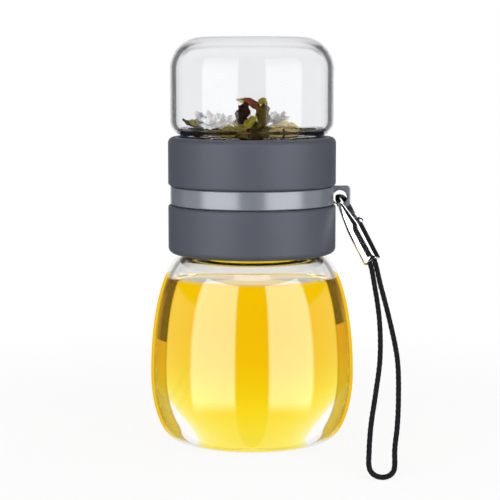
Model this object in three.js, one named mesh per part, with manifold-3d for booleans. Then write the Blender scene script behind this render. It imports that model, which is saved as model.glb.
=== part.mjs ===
// Tea infuser bottle. A glass bottle stands below, a glass tea chamber with its closed end up stands
// above, and a double socket with two sleeves and a loose carry ring joins them. A cord loop hangs
// from the lug of the ring on a snap hook. Millimetres, +Z up: the axis of the bottle is Z, its foot
// stands on Z = 0, and the lug points along +X.
import * as THREE from 'three';
import { mergeVertices } from 'three/addons/utils/BufferGeometryUtils.js';
import Module from 'manifold-3d';

// Facets
const ROUND_SIDES = 40;
const DOME_STEPS = 8;
const HEEL_STEPS = 6;
const CORNER_STEPS = 4;
const SMALL_SIDES = 12;

// Clearances
const RUN_GAP = 0.3;
const SEAT_GAP = 0.1;

// Bottle glass
const BELLY_RADIUS = 41.2;
const BELLY_HEIGHT = 26.6;
const FOOT_INSET = 10.6;
const FOOT_RIM_WIDTH = 10.6;
const FOOT_RECESS_DEPTH = 0.8;
const DOME_HEIGHT = 49;
const DOME_UNDERCUT = 1.8;
const BOTTLE_WALL = 2.2;
const BOTTLE_FLOOR = 3.4;

// Glass necks, the same on the bottle and on the tea chamber
const NECK_RADIUS = 28.2;
const NECK_WALL = 2.2;
const NECK_LENGTH = 19.6;
const RIM_ROUND = 0.8;
const THREAD_HEIGHT = 1;
const THREAD_GAP = 0.4;

// Tea chamber glass
const CHAMBER_SHOULDER = 4.7;
const CHAMBER_HEIGHT = 39.4;
const CHAMBER_WALL = 2.2;
const CHAMBER_ROOF = 2.6;
const CHAMBER_TOP_ROUND = 12.8;
const CHAMBER_HEEL_ROUND = 6;

// Connector core and seals
const CORE_WALL = 1.4;
const WEB_THICKNESS = 2.8;
const WEB_STEP = 4.5;
const SEAL_THICKNESS = 1.6;
const SEAL_WIDTH = 3.1;

// Collars
const COLLAR_WALL = 2.5;
const COLLAR_HEIGHT = 19.4;
const COLLAR_LIP = 1.2;
const COLLAR_END_ROUND = 2.4;
const COLLAR_RING_ROUND = 1;
const COLLAR_GLASS_GAP = 0.45;

// Carry ring, lug and eye
const RING_WALL = 1.6;
const RING_HEIGHT = 7.3;
const RING_EDGE_ROUND = 0.5;
const LUG_BEYOND_EYE = 4.2;
const LUG_THICKNESS = 2.2;
const LUG_DROP = 1.2;
const LUG_CORNER_ROUND = 1.6;
const LUG_COLLAR_GAP = 0.5;
const EYE_SET_OUT = 2.6;
const EYE_AXIS_DROP = 1;
const EYE_RADIUS = 2.8;

// Filter
const FILTER_HEIGHT = 14;
const FILTER_NECK_GAP = 0.8;
const FILTER_FRAME_WIDTH = 2.6;
const FILTER_GROOVE_DEPTH = 1;
const FILTER_GROOVE_HEIGHT = 2.4;
const FILTER_GROOVE_LEVEL = 5;
const FILTER_SPOKE_WIDTH = 1.6;
const FILTER_SPOKE_HEIGHT = 2;
const MESH_THICKNESS = 0.6;
const MESH_LEDGE = 1.4;
const MESH_SINK = 0.2;
const MESH_HOLE_RADIUS = 1.1;
const MESH_RING_STEP = 3.9;
const MESH_HOLES_PER_RING = 6;
const MESH_HOLE_SIDES = 6;

// Snap hook, with u along the strap from the eye, w from front to back and s across
const SHEET = 0.8;
const HOOK_MOUTH = 5.2;
const HOOK_TIP_WIDTH = 1.8;
const HOOK_TAPER_START = 4;
const HOOK_BIGHT_LEVEL = 3.2;
const HOOK_NOSE_LEVEL = 8.8;
const CRIMP_START = 15.6;
const CRIMP_LENGTH = 15.8;
const CRIMP_WIDTH = 6.4;
const CRIMP_ROOM = 3.6;
const CRIMP_BEND = 0.3;
const EAR_HEIGHT = 3.4;
const GATE_PIVOT_LEVEL = 13.9;
const GATE_LEAF = 0.5;
const GATE_CURL_RADIUS = 1.3;
const GATE_TIP_LEVEL = 7.8;
const GATE_TIP_WIDTH = 2;
const RIVET_RADIUS = 0.5;
const RIVET_HEAD_RADIUS = 1;
const RIVET_HEAD_HEIGHT = 0.4;

// How the hook hangs in the eye
const STRAP_OUT_DEGREES = 27;
const STRAP_FORWARD_DEGREES = 27;
const STRAP_TWIST_DEGREES = 29;
const HOOK_SET_BACK = 1.4;
const HOOK_SET_ASIDE = -0.6;
const HOOK_SET_UP = 1.2;

// Cord
const CORD_RADIUS = 1;
const CORD_SPACING = 2.4;
const CORD_GRIP = 13;
const CORD_SIDES = 8;
const CORD_STEPS = 63;

// Route of the cord loop from the crimp to the table and back
const CORD_ROUTE = [
  [48.4, -18.6, 64.7],
  [49.9, -26.5, 51.7],
  [49.4, -37, 38.4],
  [46.9, -48.2, 26.4],
  [44.6, -57.8, 16.8],
  [43.5, -65.2, 9.6],
  [43.15, -70.16, 4.36],
  [43.78, -71.88, 2.75],
  [45.5, -73.14, 1.58],
  [47.85, -73.6, 1.15],
  [50.2, -73.14, 1.58],
  [51.92, -71.88, 2.75],
  [52.55, -70.16, 4.36],
  [53, -65.2, 9.6],
  [54.5, -57.8, 16.8],
  [55.7, -48.2, 26.4],
  [56.1, -37, 38.4],
  [53.9, -26.5, 51.7],
  [50.8, -18.6, 64.7],
];

// Levels of the stack, from the foot up
const domeRadius = NECK_RADIUS - DOME_UNDERCUT;
const domeReach = Math.acos(DOME_UNDERCUT / (BELLY_RADIUS - domeRadius));
const neckStart = BELLY_HEIGHT + DOME_HEIGHT * Math.sin(domeReach);
const bottleRim = neckStart + NECK_LENGTH;
const bottleSealFoot = bottleRim + SEAT_GAP;
const webFoot = bottleSealFoot + SEAL_THICKNESS + SEAT_GAP;
const webTop = webFoot + WEB_THICKNESS;
const chamberSealFoot = webTop + SEAT_GAP;
const chamberRim = chamberSealFoot + SEAL_THICKNESS + SEAT_GAP;
const lowerCollarFoot = neckStart + COLLAR_GLASS_GAP;
const lowerCollarTop = lowerCollarFoot + COLLAR_HEIGHT;
const ringFoot = lowerCollarTop + RUN_GAP;
const ringTop = ringFoot + RING_HEIGHT;
const upperCollarFoot = ringTop + RUN_GAP;
const upperCollarTop = upperCollarFoot + COLLAR_HEIGHT;
const chamberHeel = upperCollarTop + COLLAR_GLASS_GAP;
const chamberTop = chamberHeel + CHAMBER_HEIGHT;

// Radii that follow from the necks
const neckBore = NECK_RADIUS - NECK_WALL;
const socketRadius = NECK_RADIUS + THREAD_HEIGHT + THREAD_GAP;
const coreRadius = socketRadius + CORE_WALL;
const sleeveBore = coreRadius + RUN_GAP;
const sealRadius = socketRadius - RUN_GAP;
const webBore = neckBore - WEB_STEP;
const filterRadius = neckBore - FILTER_NECK_GAP;
const filterBore = filterRadius - FILTER_FRAME_WIDTH;
const chamberRadius = NECK_RADIUS + CHAMBER_SHOULDER;
const collarRadius = sleeveBore + COLLAR_WALL;
const ringRadius = sleeveBore + RING_WALL;
const eyeAxisRadius = ringRadius + EYE_SET_OUT;
const lugTipRadius = eyeAxisRadius + LUG_BEYOND_EYE;
const footRadius = BELLY_RADIUS - FOOT_INSET;
const footRecessRadius = footRadius - FOOT_RIM_WIDTH;

const wasm = await Module();
wasm.setup();

function material(colour, roughness, metalness) {
  return new THREE.MeshStandardMaterial({ color: colour, roughness, metalness });
}

const glass = material(0xe9eeee, 0.05, 0);
const slate = material(0x5d606a, 0.55, 0);
const satin = material(0x7d828c, 0.4, 0.1);
const liner = material(0x46484f, 0.5, 0);
const silicone = material(0xd8d8d4, 0.7, 0);
const steel = material(0xb9bcc0, 0.3, 1);
const chrome = material(0xd6d8da, 0.12, 1);
const braid = material(0x1c1c1e, 0.9, 0);

function radians(degrees) {
  return THREE.MathUtils.degToRad(degrees);
}

// Points on an ellipse from one angle to another, as radius and height
function ellipse(centreX, centreY, across, up, from, to, steps) {
  const points = [];
  for (let i = 0; i <= steps; i += 1) {
    const angle = from + (to - from) * (i / steps);
    points.push([centreX + across * Math.cos(angle), centreY + up * Math.sin(angle)]);
  }
  return points;
}

function arc(centreX, centreY, radius, from, to, steps) {
  return ellipse(centreX, centreY, radius, radius, from, to, steps);
}

// Body turned about Z from radius and height points: they run up the outside
function turned(points, sides = ROUND_SIDES) {
  const profile = points.map(([radius, height]) => new THREE.Vector2(radius, height));
  const geometry = new THREE.LatheGeometry(profile, sides);
  geometry.rotateX(Math.PI / 2);
  return geometry;
}

function turnedRing(points, sides = ROUND_SIDES) {
  return turned([...points, points[0]], sides);
}

function outline(points) {
  return new THREE.Shape(points.map(([x, y]) => new THREE.Vector2(x, y)));
}

// Prism of an outline drawn in X and Y, from Z = low to Z = high
function prism(shape, low, high) {
  const geometry = new THREE.ExtrudeGeometry(shape, { depth: high - low, bevelEnabled: false });
  geometry.translate(0, 0, low);
  return geometry;
}

// Prism of an outline drawn in X and Z, centred on Y = 0
function wallPrism(shape, thickness) {
  const geometry = prism(shape, -thickness / 2, thickness / 2);
  geometry.rotateX(Math.PI / 2);
  return geometry;
}

// Prism of an outline drawn in Y and Z, from X = low to X = high
function facePrism(shape, low, high) {
  const geometry = prism(shape, low, high);
  geometry.rotateX(Math.PI / 2);
  geometry.rotateZ(Math.PI / 2);
  return geometry;
}

// Rectangle with round corners
function roundedRectangle(lowX, lowY, highX, highY, radius) {
  return [
    ...arc(highX - radius, lowY + radius, radius, -Math.PI / 2, 0, CORNER_STEPS),
    ...arc(highX - radius, highY - radius, radius, 0, Math.PI / 2, CORNER_STEPS),
    ...arc(lowX + radius, highY - radius, radius, Math.PI / 2, Math.PI, CORNER_STEPS),
    ...arc(lowX + radius, lowY + radius, radius, Math.PI, Math.PI * 1.5, CORNER_STEPS),
  ];
}

function toSolid(geometry) {
  const bare = geometry.clone();
  bare.deleteAttribute('normal');
  bare.deleteAttribute('uv');
  const merged = mergeVertices(bare);
  const index = merged.index.array;
  const triangles = [];
  for (let i = 0; i < index.length; i += 3) {
    const [a, b, c] = [index[i], index[i + 1], index[i + 2]];
    if (a !== b && b !== c && c !== a) {
      triangles.push(a, b, c);
    }
  }
  const mesh = new wasm.Mesh({
    numProp: 3,
    vertProperties: new Float32Array(merged.attributes.position.array),
    triVerts: new Uint32Array(triangles),
  });
  return new wasm.Manifold(mesh);
}

function toGeometry(solid) {
  const mesh = solid.getMesh();
  const geometry = new THREE.BufferGeometry();
  geometry.setAttribute('position', new THREE.BufferAttribute(mesh.vertProperties, 3));
  geometry.setIndex(new THREE.BufferAttribute(mesh.triVerts, 1));
  geometry.computeVertexNormals();
  return geometry;
}

function named(name, geometry, look) {
  const mesh = new THREE.Mesh(geometry, look);
  mesh.name = name;
  return mesh;
}

// Bottle glass: recessed foot, swelling heel, domed shoulder, straight neck
function bottleGlass() {
  const innerFoot = footRadius - BOTTLE_WALL;
  const innerBelly = BELLY_RADIUS - BOTTLE_WALL;
  const innerDomeRadius = neckBore - DOME_UNDERCUT;
  const innerDomeHeight = DOME_HEIGHT - BOTTLE_WALL;
  const innerReach = Math.acos(DOME_UNDERCUT / (innerBelly - innerDomeRadius));
  const heelDepth = BELLY_HEIGHT - BOTTLE_FLOOR;
  const outside = [
    [0, FOOT_RECESS_DEPTH],
    [footRecessRadius - FOOT_RECESS_DEPTH * 2, FOOT_RECESS_DEPTH],
    [footRecessRadius, 0],
    ...ellipse(footRadius, BELLY_HEIGHT, BELLY_RADIUS - footRadius, BELLY_HEIGHT,
      -Math.PI / 2, 0, HEEL_STEPS),
    ...ellipse(domeRadius, BELLY_HEIGHT, BELLY_RADIUS - domeRadius, DOME_HEIGHT,
      0, domeReach, DOME_STEPS).slice(1),
    [NECK_RADIUS, bottleRim - RIM_ROUND],
    [NECK_RADIUS - RIM_ROUND, bottleRim],
  ];
  const inside = [
    [neckBore + RIM_ROUND, bottleRim],
    [neckBore, bottleRim - RIM_ROUND],
    ...ellipse(innerDomeRadius, BELLY_HEIGHT, innerBelly - innerDomeRadius, innerDomeHeight,
      innerReach, 0, DOME_STEPS),
    ...ellipse(innerFoot, BELLY_HEIGHT, innerBelly - innerFoot, heelDepth,
      0, -Math.PI / 2, HEEL_STEPS).slice(1),
    [0, BOTTLE_FLOOR],
  ];
  return turned([...outside, ...inside]);
}

// Tea chamber glass: closed flat top with a wide corner, and a neck that points down
function chamberGlass() {
  const wallTop = chamberTop - CHAMBER_TOP_ROUND;
  const topCentre = chamberRadius - CHAMBER_TOP_ROUND;
  const heelCentre = chamberRadius - CHAMBER_HEEL_ROUND;
  const heelTop = chamberHeel + CHAMBER_HEEL_ROUND;
  const heelReach = Math.acos((NECK_RADIUS - heelCentre) / CHAMBER_HEEL_ROUND);
  const innerHeelRound = CHAMBER_HEEL_ROUND - CHAMBER_WALL;
  const innerTopRound = CHAMBER_TOP_ROUND - CHAMBER_WALL;
  const innerReach = Math.acos((neckBore - heelCentre + RUN_GAP) / innerHeelRound);
  const ceiling = chamberTop - CHAMBER_ROOF;
  const innerTopRise = ceiling - wallTop;
  const inside = [
    [0, ceiling],
    ...ellipse(topCentre, wallTop, innerTopRound, innerTopRise, Math.PI / 2, 0, CORNER_STEPS),
    ...arc(heelCentre, heelTop, innerHeelRound, 0, -Math.min(innerReach, Math.PI / 2), CORNER_STEPS),
    [neckBore, heelTop - innerHeelRound - CHAMBER_WALL / 2],
    [neckBore, chamberRim + RIM_ROUND],
    [neckBore + RIM_ROUND, chamberRim],
  ];
  const outside = [
    [NECK_RADIUS - RIM_ROUND, chamberRim],
    [NECK_RADIUS, chamberRim + RIM_ROUND],
    ...arc(heelCentre, heelTop, CHAMBER_HEEL_ROUND, -heelReach, 0, CORNER_STEPS),
    ...arc(topCentre, wallTop, CHAMBER_TOP_ROUND, 0, Math.PI / 2, CORNER_STEPS + 2),
    [0, chamberTop],
  ];
  return turned([...inside, ...outside]);
}

// Core: two sockets back to back with a web between them
function connectorCore() {
  const foot = lowerCollarFoot + COLLAR_LIP + SEAT_GAP;
  const top = upperCollarTop - COLLAR_LIP - SEAT_GAP;
  return turnedRing([
    [socketRadius, foot],
    [coreRadius, foot],
    [coreRadius, top],
    [socketRadius, top],
    [socketRadius, webTop],
    [webBore, webTop],
    [webBore, webFoot],
    [socketRadius, webFoot],
  ]);
}

// Sleeve over one socket: its lip covers the end of the core
function collar() {
  const endCentre = collarRadius - COLLAR_END_ROUND;
  const ringCentre = collarRadius - COLLAR_RING_ROUND;
  return turnedRing([
    [sleeveBore, 0],
    ...arc(ringCentre, COLLAR_RING_ROUND, COLLAR_RING_ROUND, -Math.PI / 2, 0, CORNER_STEPS),
    ...arc(endCentre, COLLAR_HEIGHT - COLLAR_END_ROUND, COLLAR_END_ROUND, 0, Math.PI / 2, CORNER_STEPS),
    [socketRadius, COLLAR_HEIGHT],
    [socketRadius, COLLAR_HEIGHT - COLLAR_LIP],
    [sleeveBore, COLLAR_HEIGHT - COLLAR_LIP],
  ]);
}

function sealRing() {
  return turnedRing([
    [sealRadius - SEAL_WIDTH, 0],
    [sealRadius, 0],
    [sealRadius, SEAL_THICKNESS],
    [sealRadius - SEAL_WIDTH, SEAL_THICKNESS],
  ]);
}

// Loose ring with a flat lug, drilled through along Y
function carryRing() {
  const eyeLevel = eyeCentre().z;
  const lugFoot = ringFoot - LUG_DROP;
  const lugStep = collarRadius + LUG_COLLAR_GAP;
  const root = ringRadius - RING_EDGE_ROUND;
  const band = turnedRing([
    [sleeveBore, ringFoot],
    [ringRadius - RING_EDGE_ROUND, ringFoot],
    [ringRadius, ringFoot + RING_EDGE_ROUND],
    [ringRadius, ringTop - RING_EDGE_ROUND],
    [ringRadius - RING_EDGE_ROUND, ringTop],
    [sleeveBore, ringTop],
  ]);
  const side = outline([
    [root, ringFoot],
    [lugStep, ringFoot],
    [lugStep, lugFoot],
    ...arc(lugTipRadius - LUG_CORNER_ROUND, lugFoot + LUG_CORNER_ROUND, LUG_CORNER_ROUND,
      -Math.PI / 2, 0, CORNER_STEPS),
    ...arc(lugTipRadius - LUG_CORNER_ROUND, ringTop - LUG_CORNER_ROUND, LUG_CORNER_ROUND,
      0, Math.PI / 2, CORNER_STEPS),
    [root, ringTop],
  ]);
  const plan = outline([
    [root, -LUG_THICKNESS / 2],
    ...arc(lugTipRadius - LUG_THICKNESS / 2, 0, LUG_THICKNESS / 2,
      -Math.PI / 2, Math.PI / 2, CORNER_STEPS * 2),
    [root, LUG_THICKNESS / 2],
  ]);
  const eye = new THREE.CylinderGeometry(EYE_RADIUS, EYE_RADIUS, LUG_THICKNESS * 2, SMALL_SIDES * 2);
  eye.translate(eyeAxisRadius, 0, eyeLevel);
  const lug = toSolid(wallPrism(side, LUG_THICKNESS)).intersect(toSolid(prism(plan, lugFoot, ringTop)));
  return toGeometry(toSolid(band).add(lug).subtract(toSolid(eye)));
}

function eyeCentre() {
  const level = (ringFoot + ringTop) / 2 - EYE_AXIS_DROP;
  return new THREE.Vector3(eyeAxisRadius, 0, level);
}

// Plug in the neck of the chamber: a grooved ring with crossed spokes under the mesh
function filterFrame() {
  const foot = webTop + SEAT_GAP;
  const top = foot + FILTER_HEIGHT;
  const grooveFoot = foot + FILTER_GROOVE_LEVEL;
  const grooveTop = grooveFoot + FILTER_GROOVE_HEIGHT;
  const grooveRadius = filterRadius - FILTER_GROOVE_DEPTH;
  const ledge = top - MESH_SINK - MESH_THICKNESS - SEAT_GAP;
  const ledgeRadius = filterBore + MESH_LEDGE + RUN_GAP;
  const ring = turnedRing([
    [filterBore, foot],
    [filterRadius, foot],
    [filterRadius, grooveFoot],
    [grooveRadius, grooveFoot],
    [grooveRadius, grooveTop],
    [filterRadius, grooveTop],
    [filterRadius, top],
    [ledgeRadius, top],
    [ledgeRadius, ledge],
    [filterBore, ledge],
  ]);
  const reach = filterBore * 2 + FILTER_FRAME_WIDTH / 2;
  const spoke = new THREE.BoxGeometry(reach, FILTER_SPOKE_WIDTH, FILTER_SPOKE_HEIGHT);
  spoke.translate(0, 0, ledge - FILTER_SPOKE_HEIGHT / 2);
  const crossed = spoke.clone();
  crossed.rotateZ(Math.PI / 2);
  return toGeometry(toSolid(ring).add(toSolid(spoke)).add(toSolid(crossed)));
}

function circle(x, y, radius, sides) {
  const points = [];
  for (let i = 0; i < sides; i += 1) {
    const angle = (i / sides) * Math.PI * 2;
    points.push(new THREE.Vector2(x + radius * Math.cos(angle), y + radius * Math.sin(angle)));
  }
  return points;
}

// Perforated disc: rings of holes, six more in each ring than in the one inside it
function filterMesh() {
  const discRadius = filterBore + MESH_LEDGE;
  const foot = webTop + SEAT_GAP + FILTER_HEIGHT - MESH_SINK - MESH_THICKNESS;
  const reach = filterBore - MESH_HOLE_RADIUS;
  const disc = new THREE.Shape(circle(0, 0, discRadius, ROUND_SIDES));
  disc.holes.push(new THREE.Path(circle(0, 0, MESH_HOLE_RADIUS, MESH_HOLE_SIDES)));
  for (let ring = 1; ring * MESH_RING_STEP < reach; ring += 1) {
    const count = ring * MESH_HOLES_PER_RING;
    for (let i = 0; i < count; i += 1) {
      const angle = (i / count) * Math.PI * 2;
      const x = ring * MESH_RING_STEP * Math.cos(angle);
      const y = ring * MESH_RING_STEP * Math.sin(angle);
      disc.holes.push(new THREE.Path(circle(x, y, MESH_HOLE_RADIUS, MESH_HOLE_SIDES)));
    }
  }
  return prism(disc, foot, foot + MESH_THICKNESS);
}

function filterSeal() {
  const foot = webTop + SEAT_GAP + FILTER_GROOVE_LEVEL + RUN_GAP;
  const top = foot + FILTER_GROOVE_HEIGHT - RUN_GAP * 2;
  const inner = filterRadius - FILTER_GROOVE_DEPTH + RUN_GAP;
  const outer = neckBore - RUN_GAP;
  return turnedRing([
    [inner, foot],
    [filterRadius, foot],
    [outer, (foot + top) / 2],
    [filterRadius, top],
    [inner, top],
  ]);
}

// Crimp of the hook, measured from the middle of its mouth
const crimpFront = -HOOK_MOUTH / 2 - SHEET;
const crimpBack = crimpFront + SHEET * 2 + CRIMP_ROOM;
const crimpRound = SHEET + CRIMP_BEND;
const crimpEnd = CRIMP_START + CRIMP_LENGTH;
const crimpMiddle = (crimpFront + crimpBack) / 2;
const gateBack = HOOK_MOUTH / 2 - RUN_GAP;
const gatePivotDepth = gateBack - GATE_CURL_RADIUS;

// Rolled sheet: a crimp tube with two ears, whose front tapers up to a bight over the eye and a nose
function hookBody() {
  const inner = HOOK_MOUTH / 2;
  const outer = inner + SHEET;
  const half = CRIMP_WIDTH / 2;
  const box = outline(roundedRectangle(crimpFront, -half, crimpBack, half, crimpRound));
  const room = outline(roundedRectangle(
    crimpFront + SHEET, SHEET - half, crimpBack - SHEET, half - SHEET, CRIMP_BEND));
  const rolled = toSolid(prism(box, HOOK_BIGHT_LEVEL, crimpEnd));
  const hollow = toSolid(prism(room, HOOK_BIGHT_LEVEL - SHEET, crimpEnd + SHEET));
  const shell = rolled.subtract(hollow);
  const front = outline([
    [-HOOK_TIP_WIDTH / 2, HOOK_BIGHT_LEVEL],
    [HOOK_TIP_WIDTH / 2, HOOK_BIGHT_LEVEL],
    [HOOK_TIP_WIDTH / 2, HOOK_TAPER_START],
    [half, CRIMP_START],
    [-half, CRIMP_START],
    [-HOOK_TIP_WIDTH / 2, HOOK_TAPER_START],
  ]);
  const tongue = shell.intersect(toSolid(facePrism(front, crimpFront, crimpFront + crimpRound)));
  const tube = shell.intersect(toSolid(prism(box, CRIMP_START, crimpEnd)));
  const bent = outline([
    ...arc(0, HOOK_BIGHT_LEVEL, inner, Math.PI, Math.PI * 2, CORNER_STEPS * 2),
    [inner, HOOK_NOSE_LEVEL],
    [outer, HOOK_NOSE_LEVEL],
    ...arc(0, HOOK_BIGHT_LEVEL, outer, Math.PI * 2, Math.PI, CORNER_STEPS * 2),
  ]);
  const bight = toSolid(wallPrism(bent, HOOK_TIP_WIDTH));
  const earTop = CRIMP_START - EAR_HEIGHT;
  const ear = outline([
    ...arc(gatePivotDepth, earTop + GATE_CURL_RADIUS, GATE_CURL_RADIUS, Math.PI, Math.PI * 2, CORNER_STEPS),
    [gatePivotDepth + GATE_CURL_RADIUS, CRIMP_START],
    [gatePivotDepth - GATE_CURL_RADIUS, CRIMP_START],
  ]);
  const earGap = toSolid(wallPrism(ear, CRIMP_WIDTH - SHEET * 2));
  const ears = toSolid(wallPrism(ear, CRIMP_WIDTH)).subtract(earGap).intersect(rolled);
  const bore = new THREE.CylinderGeometry(
    RIVET_RADIUS + RUN_GAP, RIVET_RADIUS + RUN_GAP, CRIMP_WIDTH * 2, SMALL_SIDES);
  bore.translate(gatePivotDepth, 0, GATE_PIVOT_LEVEL);
  return toGeometry(tube.add(tongue).add(bight).add(ears).subtract(toSolid(bore)));
}

// Spring leaf with a curl round the rivet and its tip behind the nose
function hookGate() {
  const width = CRIMP_WIDTH - SHEET * 2 - RUN_GAP * 2;
  const curl = new THREE.CylinderGeometry(GATE_CURL_RADIUS, GATE_CURL_RADIUS, width, SMALL_SIDES);
  curl.translate(gatePivotDepth, 0, GATE_PIVOT_LEVEL);
  const leaf = facePrism(outline([
    [-GATE_TIP_WIDTH / 2, GATE_TIP_LEVEL],
    [GATE_TIP_WIDTH / 2, GATE_TIP_LEVEL],
    [width / 2, GATE_PIVOT_LEVEL],
    [-width / 2, GATE_PIVOT_LEVEL],
  ]), gateBack - GATE_LEAF, gateBack);
  const bore = new THREE.CylinderGeometry(
    RIVET_RADIUS + RUN_GAP, RIVET_RADIUS + RUN_GAP, CRIMP_WIDTH, SMALL_SIDES);
  bore.translate(gatePivotDepth, 0, GATE_PIVOT_LEVEL);
  return toGeometry(toSolid(curl).add(toSolid(leaf)).subtract(toSolid(bore)));
}

function gateRivet() {
  const half = CRIMP_WIDTH / 2 + RUN_GAP;
  const end = half + RIVET_HEAD_HEIGHT;
  const geometry = turned([
    [0, -end],
    [RIVET_HEAD_RADIUS, -end],
    [RIVET_HEAD_RADIUS, -half],
    [RIVET_RADIUS, -half],
    [RIVET_RADIUS, half],
    [RIVET_HEAD_RADIUS, half],
    [RIVET_HEAD_RADIUS, end],
    [0, end],
  ], SMALL_SIDES);
  geometry.rotateX(Math.PI / 2);
  geometry.translate(gatePivotDepth, 0, GATE_PIVOT_LEVEL);
  return geometry;
}

// Cord loop: both ends lie side by side in the crimp
function cordLoop(clip) {
  const inCrimp = (side, level) => clip.localToWorld(
    new THREE.Vector3(crimpMiddle, side * CORD_SPACING / 2, level));
  const gripStart = crimpEnd - CORD_GRIP;
  const points = [
    inCrimp(-1, gripStart),
    inCrimp(-1, crimpEnd),
    ...CORD_ROUTE.map(([x, y, z]) => new THREE.Vector3(x, y, z)),
    inCrimp(1, crimpEnd),
    inCrimp(1, gripStart),
  ];
  const path = new THREE.CatmullRomCurve3(points);
  const section = new THREE.Shape(circle(0, 0, CORD_RADIUS, CORD_SIDES));
  return new THREE.ExtrudeGeometry(section, {
    steps: CORD_STEPS,
    bevelEnabled: false,
    extrudePath: path,
  });
}

const bottle = new THREE.Group();

bottle.add(named('bottle_glass', bottleGlass(), glass));
bottle.add(named('connector_core', connectorCore(), liner));

const upperCollar = named('upper_collar', collar(), slate);
upperCollar.position.z = upperCollarFoot;
bottle.add(upperCollar);

const lowerCollar = named('lower_collar', collar(), slate);
lowerCollar.rotation.x = Math.PI;
lowerCollar.position.z = lowerCollarTop;
bottle.add(lowerCollar);

const bottleSeal = named('bottle_seal', sealRing(), silicone);
bottleSeal.position.z = bottleSealFoot;
bottle.add(bottleSeal);

const chamberSeal = named('chamber_seal', sealRing(), silicone);
chamberSeal.position.z = chamberSealFoot;
bottle.add(chamberSeal);

bottle.add(named('carry_ring', carryRing(), satin));
bottle.add(named('filter_frame', filterFrame(), liner));
bottle.add(named('filter_mesh', filterMesh(), steel));
bottle.add(named('filter_seal', filterSeal(), silicone));
bottle.add(named('tea_chamber_glass', chamberGlass(), glass));

// The hook hangs in the eye: it swings out about Y, leans forward about X and turns on its length
const swing = new THREE.Group();
swing.position.copy(eyeCentre());
swing.rotation.y = -radians(STRAP_OUT_DEGREES);
const lean = new THREE.Group();
lean.rotation.x = -radians(STRAP_FORWARD_DEGREES);
const clip = new THREE.Group();
clip.quaternion.setFromAxisAngle(new THREE.Vector3(1, 1, 0).normalize(), Math.PI);
clip.rotateZ(radians(STRAP_TWIST_DEGREES));
clip.translateX(HOOK_SET_BACK);
clip.translateY(HOOK_SET_ASIDE);
clip.translateZ(-HOOK_SET_UP);
bottle.add(swing);
swing.add(lean);
lean.add(clip);
clip.add(named('hook_body', hookBody(), chrome));
clip.add(named('hook_gate', hookGate(), chrome));
clip.add(named('gate_rivet', gateRivet(), steel));
bottle.updateMatrixWorld(true);

bottle.add(named('lanyard_cord', cordLoop(clip), braid));

export default bottle;
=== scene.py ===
"""Tea infuser bottle: two glasses in a slate connector, a strap on its ring, tea and leaves inside."""

import math
import random

import bmesh
import bpy
from bpy.props import FloatProperty, FloatVectorProperty, IntProperty, PointerProperty
from mathutils import Matrix, Vector


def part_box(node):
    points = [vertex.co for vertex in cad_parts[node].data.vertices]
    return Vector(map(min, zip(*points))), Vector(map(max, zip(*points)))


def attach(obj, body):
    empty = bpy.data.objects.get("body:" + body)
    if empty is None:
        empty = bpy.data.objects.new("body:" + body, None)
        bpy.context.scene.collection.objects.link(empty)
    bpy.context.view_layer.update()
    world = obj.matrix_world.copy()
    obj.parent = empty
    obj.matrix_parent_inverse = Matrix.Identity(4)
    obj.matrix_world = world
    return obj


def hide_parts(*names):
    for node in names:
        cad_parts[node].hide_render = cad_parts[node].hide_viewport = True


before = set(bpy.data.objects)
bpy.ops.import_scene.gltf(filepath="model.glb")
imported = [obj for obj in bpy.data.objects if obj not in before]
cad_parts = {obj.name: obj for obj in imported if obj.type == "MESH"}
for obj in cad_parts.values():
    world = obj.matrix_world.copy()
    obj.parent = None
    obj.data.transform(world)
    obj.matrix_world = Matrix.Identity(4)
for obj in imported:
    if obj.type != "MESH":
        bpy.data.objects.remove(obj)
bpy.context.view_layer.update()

bl_info = {
    "name": "Tea Infuser Bottle",
    "version": (1, 0, 0),
    "blender": (4, 5, 0),
    "location": "3D View > Sidebar > Tea Bottle",
    "description": "Dresses the packed tea bottle with its glass, tea, leaves, plastics, hook and cord",
    "category": "Object",
}

MM = 0.001
PHOTO_SIDE = 500
SENSOR_WIDTH = 36
FULL_TURN = 2 * math.pi
GOLDEN_ANGLE = 2.399963
TINY = 1e-7
WHITE = (1, 1, 1)

# Refraction of the two glasses, of the wall that the tea wets, and of the tea
BOTTLE_BEND = 1.5
CHAMBER_BEND = 1.12
WETTED_BEND = 1.02
TEA_BEND = 1.33

# Material slots of a glass
OUTSIDE, INSIDE, WETTED = range(3)

# Bores that several pieces of the connector share
SLEEVE_BORE = 31.3 * MM
SOCKET_BORE = 29.6 * MM

# The strap's own frame: front to back, across the sheet, and along the strap from the eye
STRAP_BACK = Vector((0.612234, 0.779292, -0.133692))
STRAP_ACROSS = Vector((0.679369, -0.431969, 0.593179))
STRAP_ALONG = Vector((0.404508, -0.453990, -0.793893))
STRAP_ORIGIN = Vector((35.464096, 1.894978, 98.445845)) * MM

# The route of the cord loop, in millimetres: down from the crimp, a turn on the table, and back
CORD_ROUTE = (
    (48.4, -18.6, 64.7), (49.9, -26.5, 51.7), (49.4, -37, 38.4), (46.9, -48.2, 26.4),
    (44.6, -57.8, 16.8), (43.5, -65.2, 9.6), (43.15, -70.16, 4.36), (43.78, -71.88, 2.75),
    (45.5, -73.14, 1.58), (47.85, -73.6, 1.15), (50.2, -73.14, 1.58), (51.92, -71.88, 2.75),
    (52.55, -70.16, 4.36), (53, -65.2, 9.6), (54.5, -57.8, 16.8), (55.7, -48.2, 26.4),
    (56.1, -37, 38.4), (53.9, -26.5, 51.7), (50.8, -18.6, 64.7),
)

LEAF_KINDS = ("brown", "olive", "petal", "red", "lime", "straw")
HEAP_KINDS = ("brown",) * 3 + ("olive",) * 3 + ("lime", "straw", "red")

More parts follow.
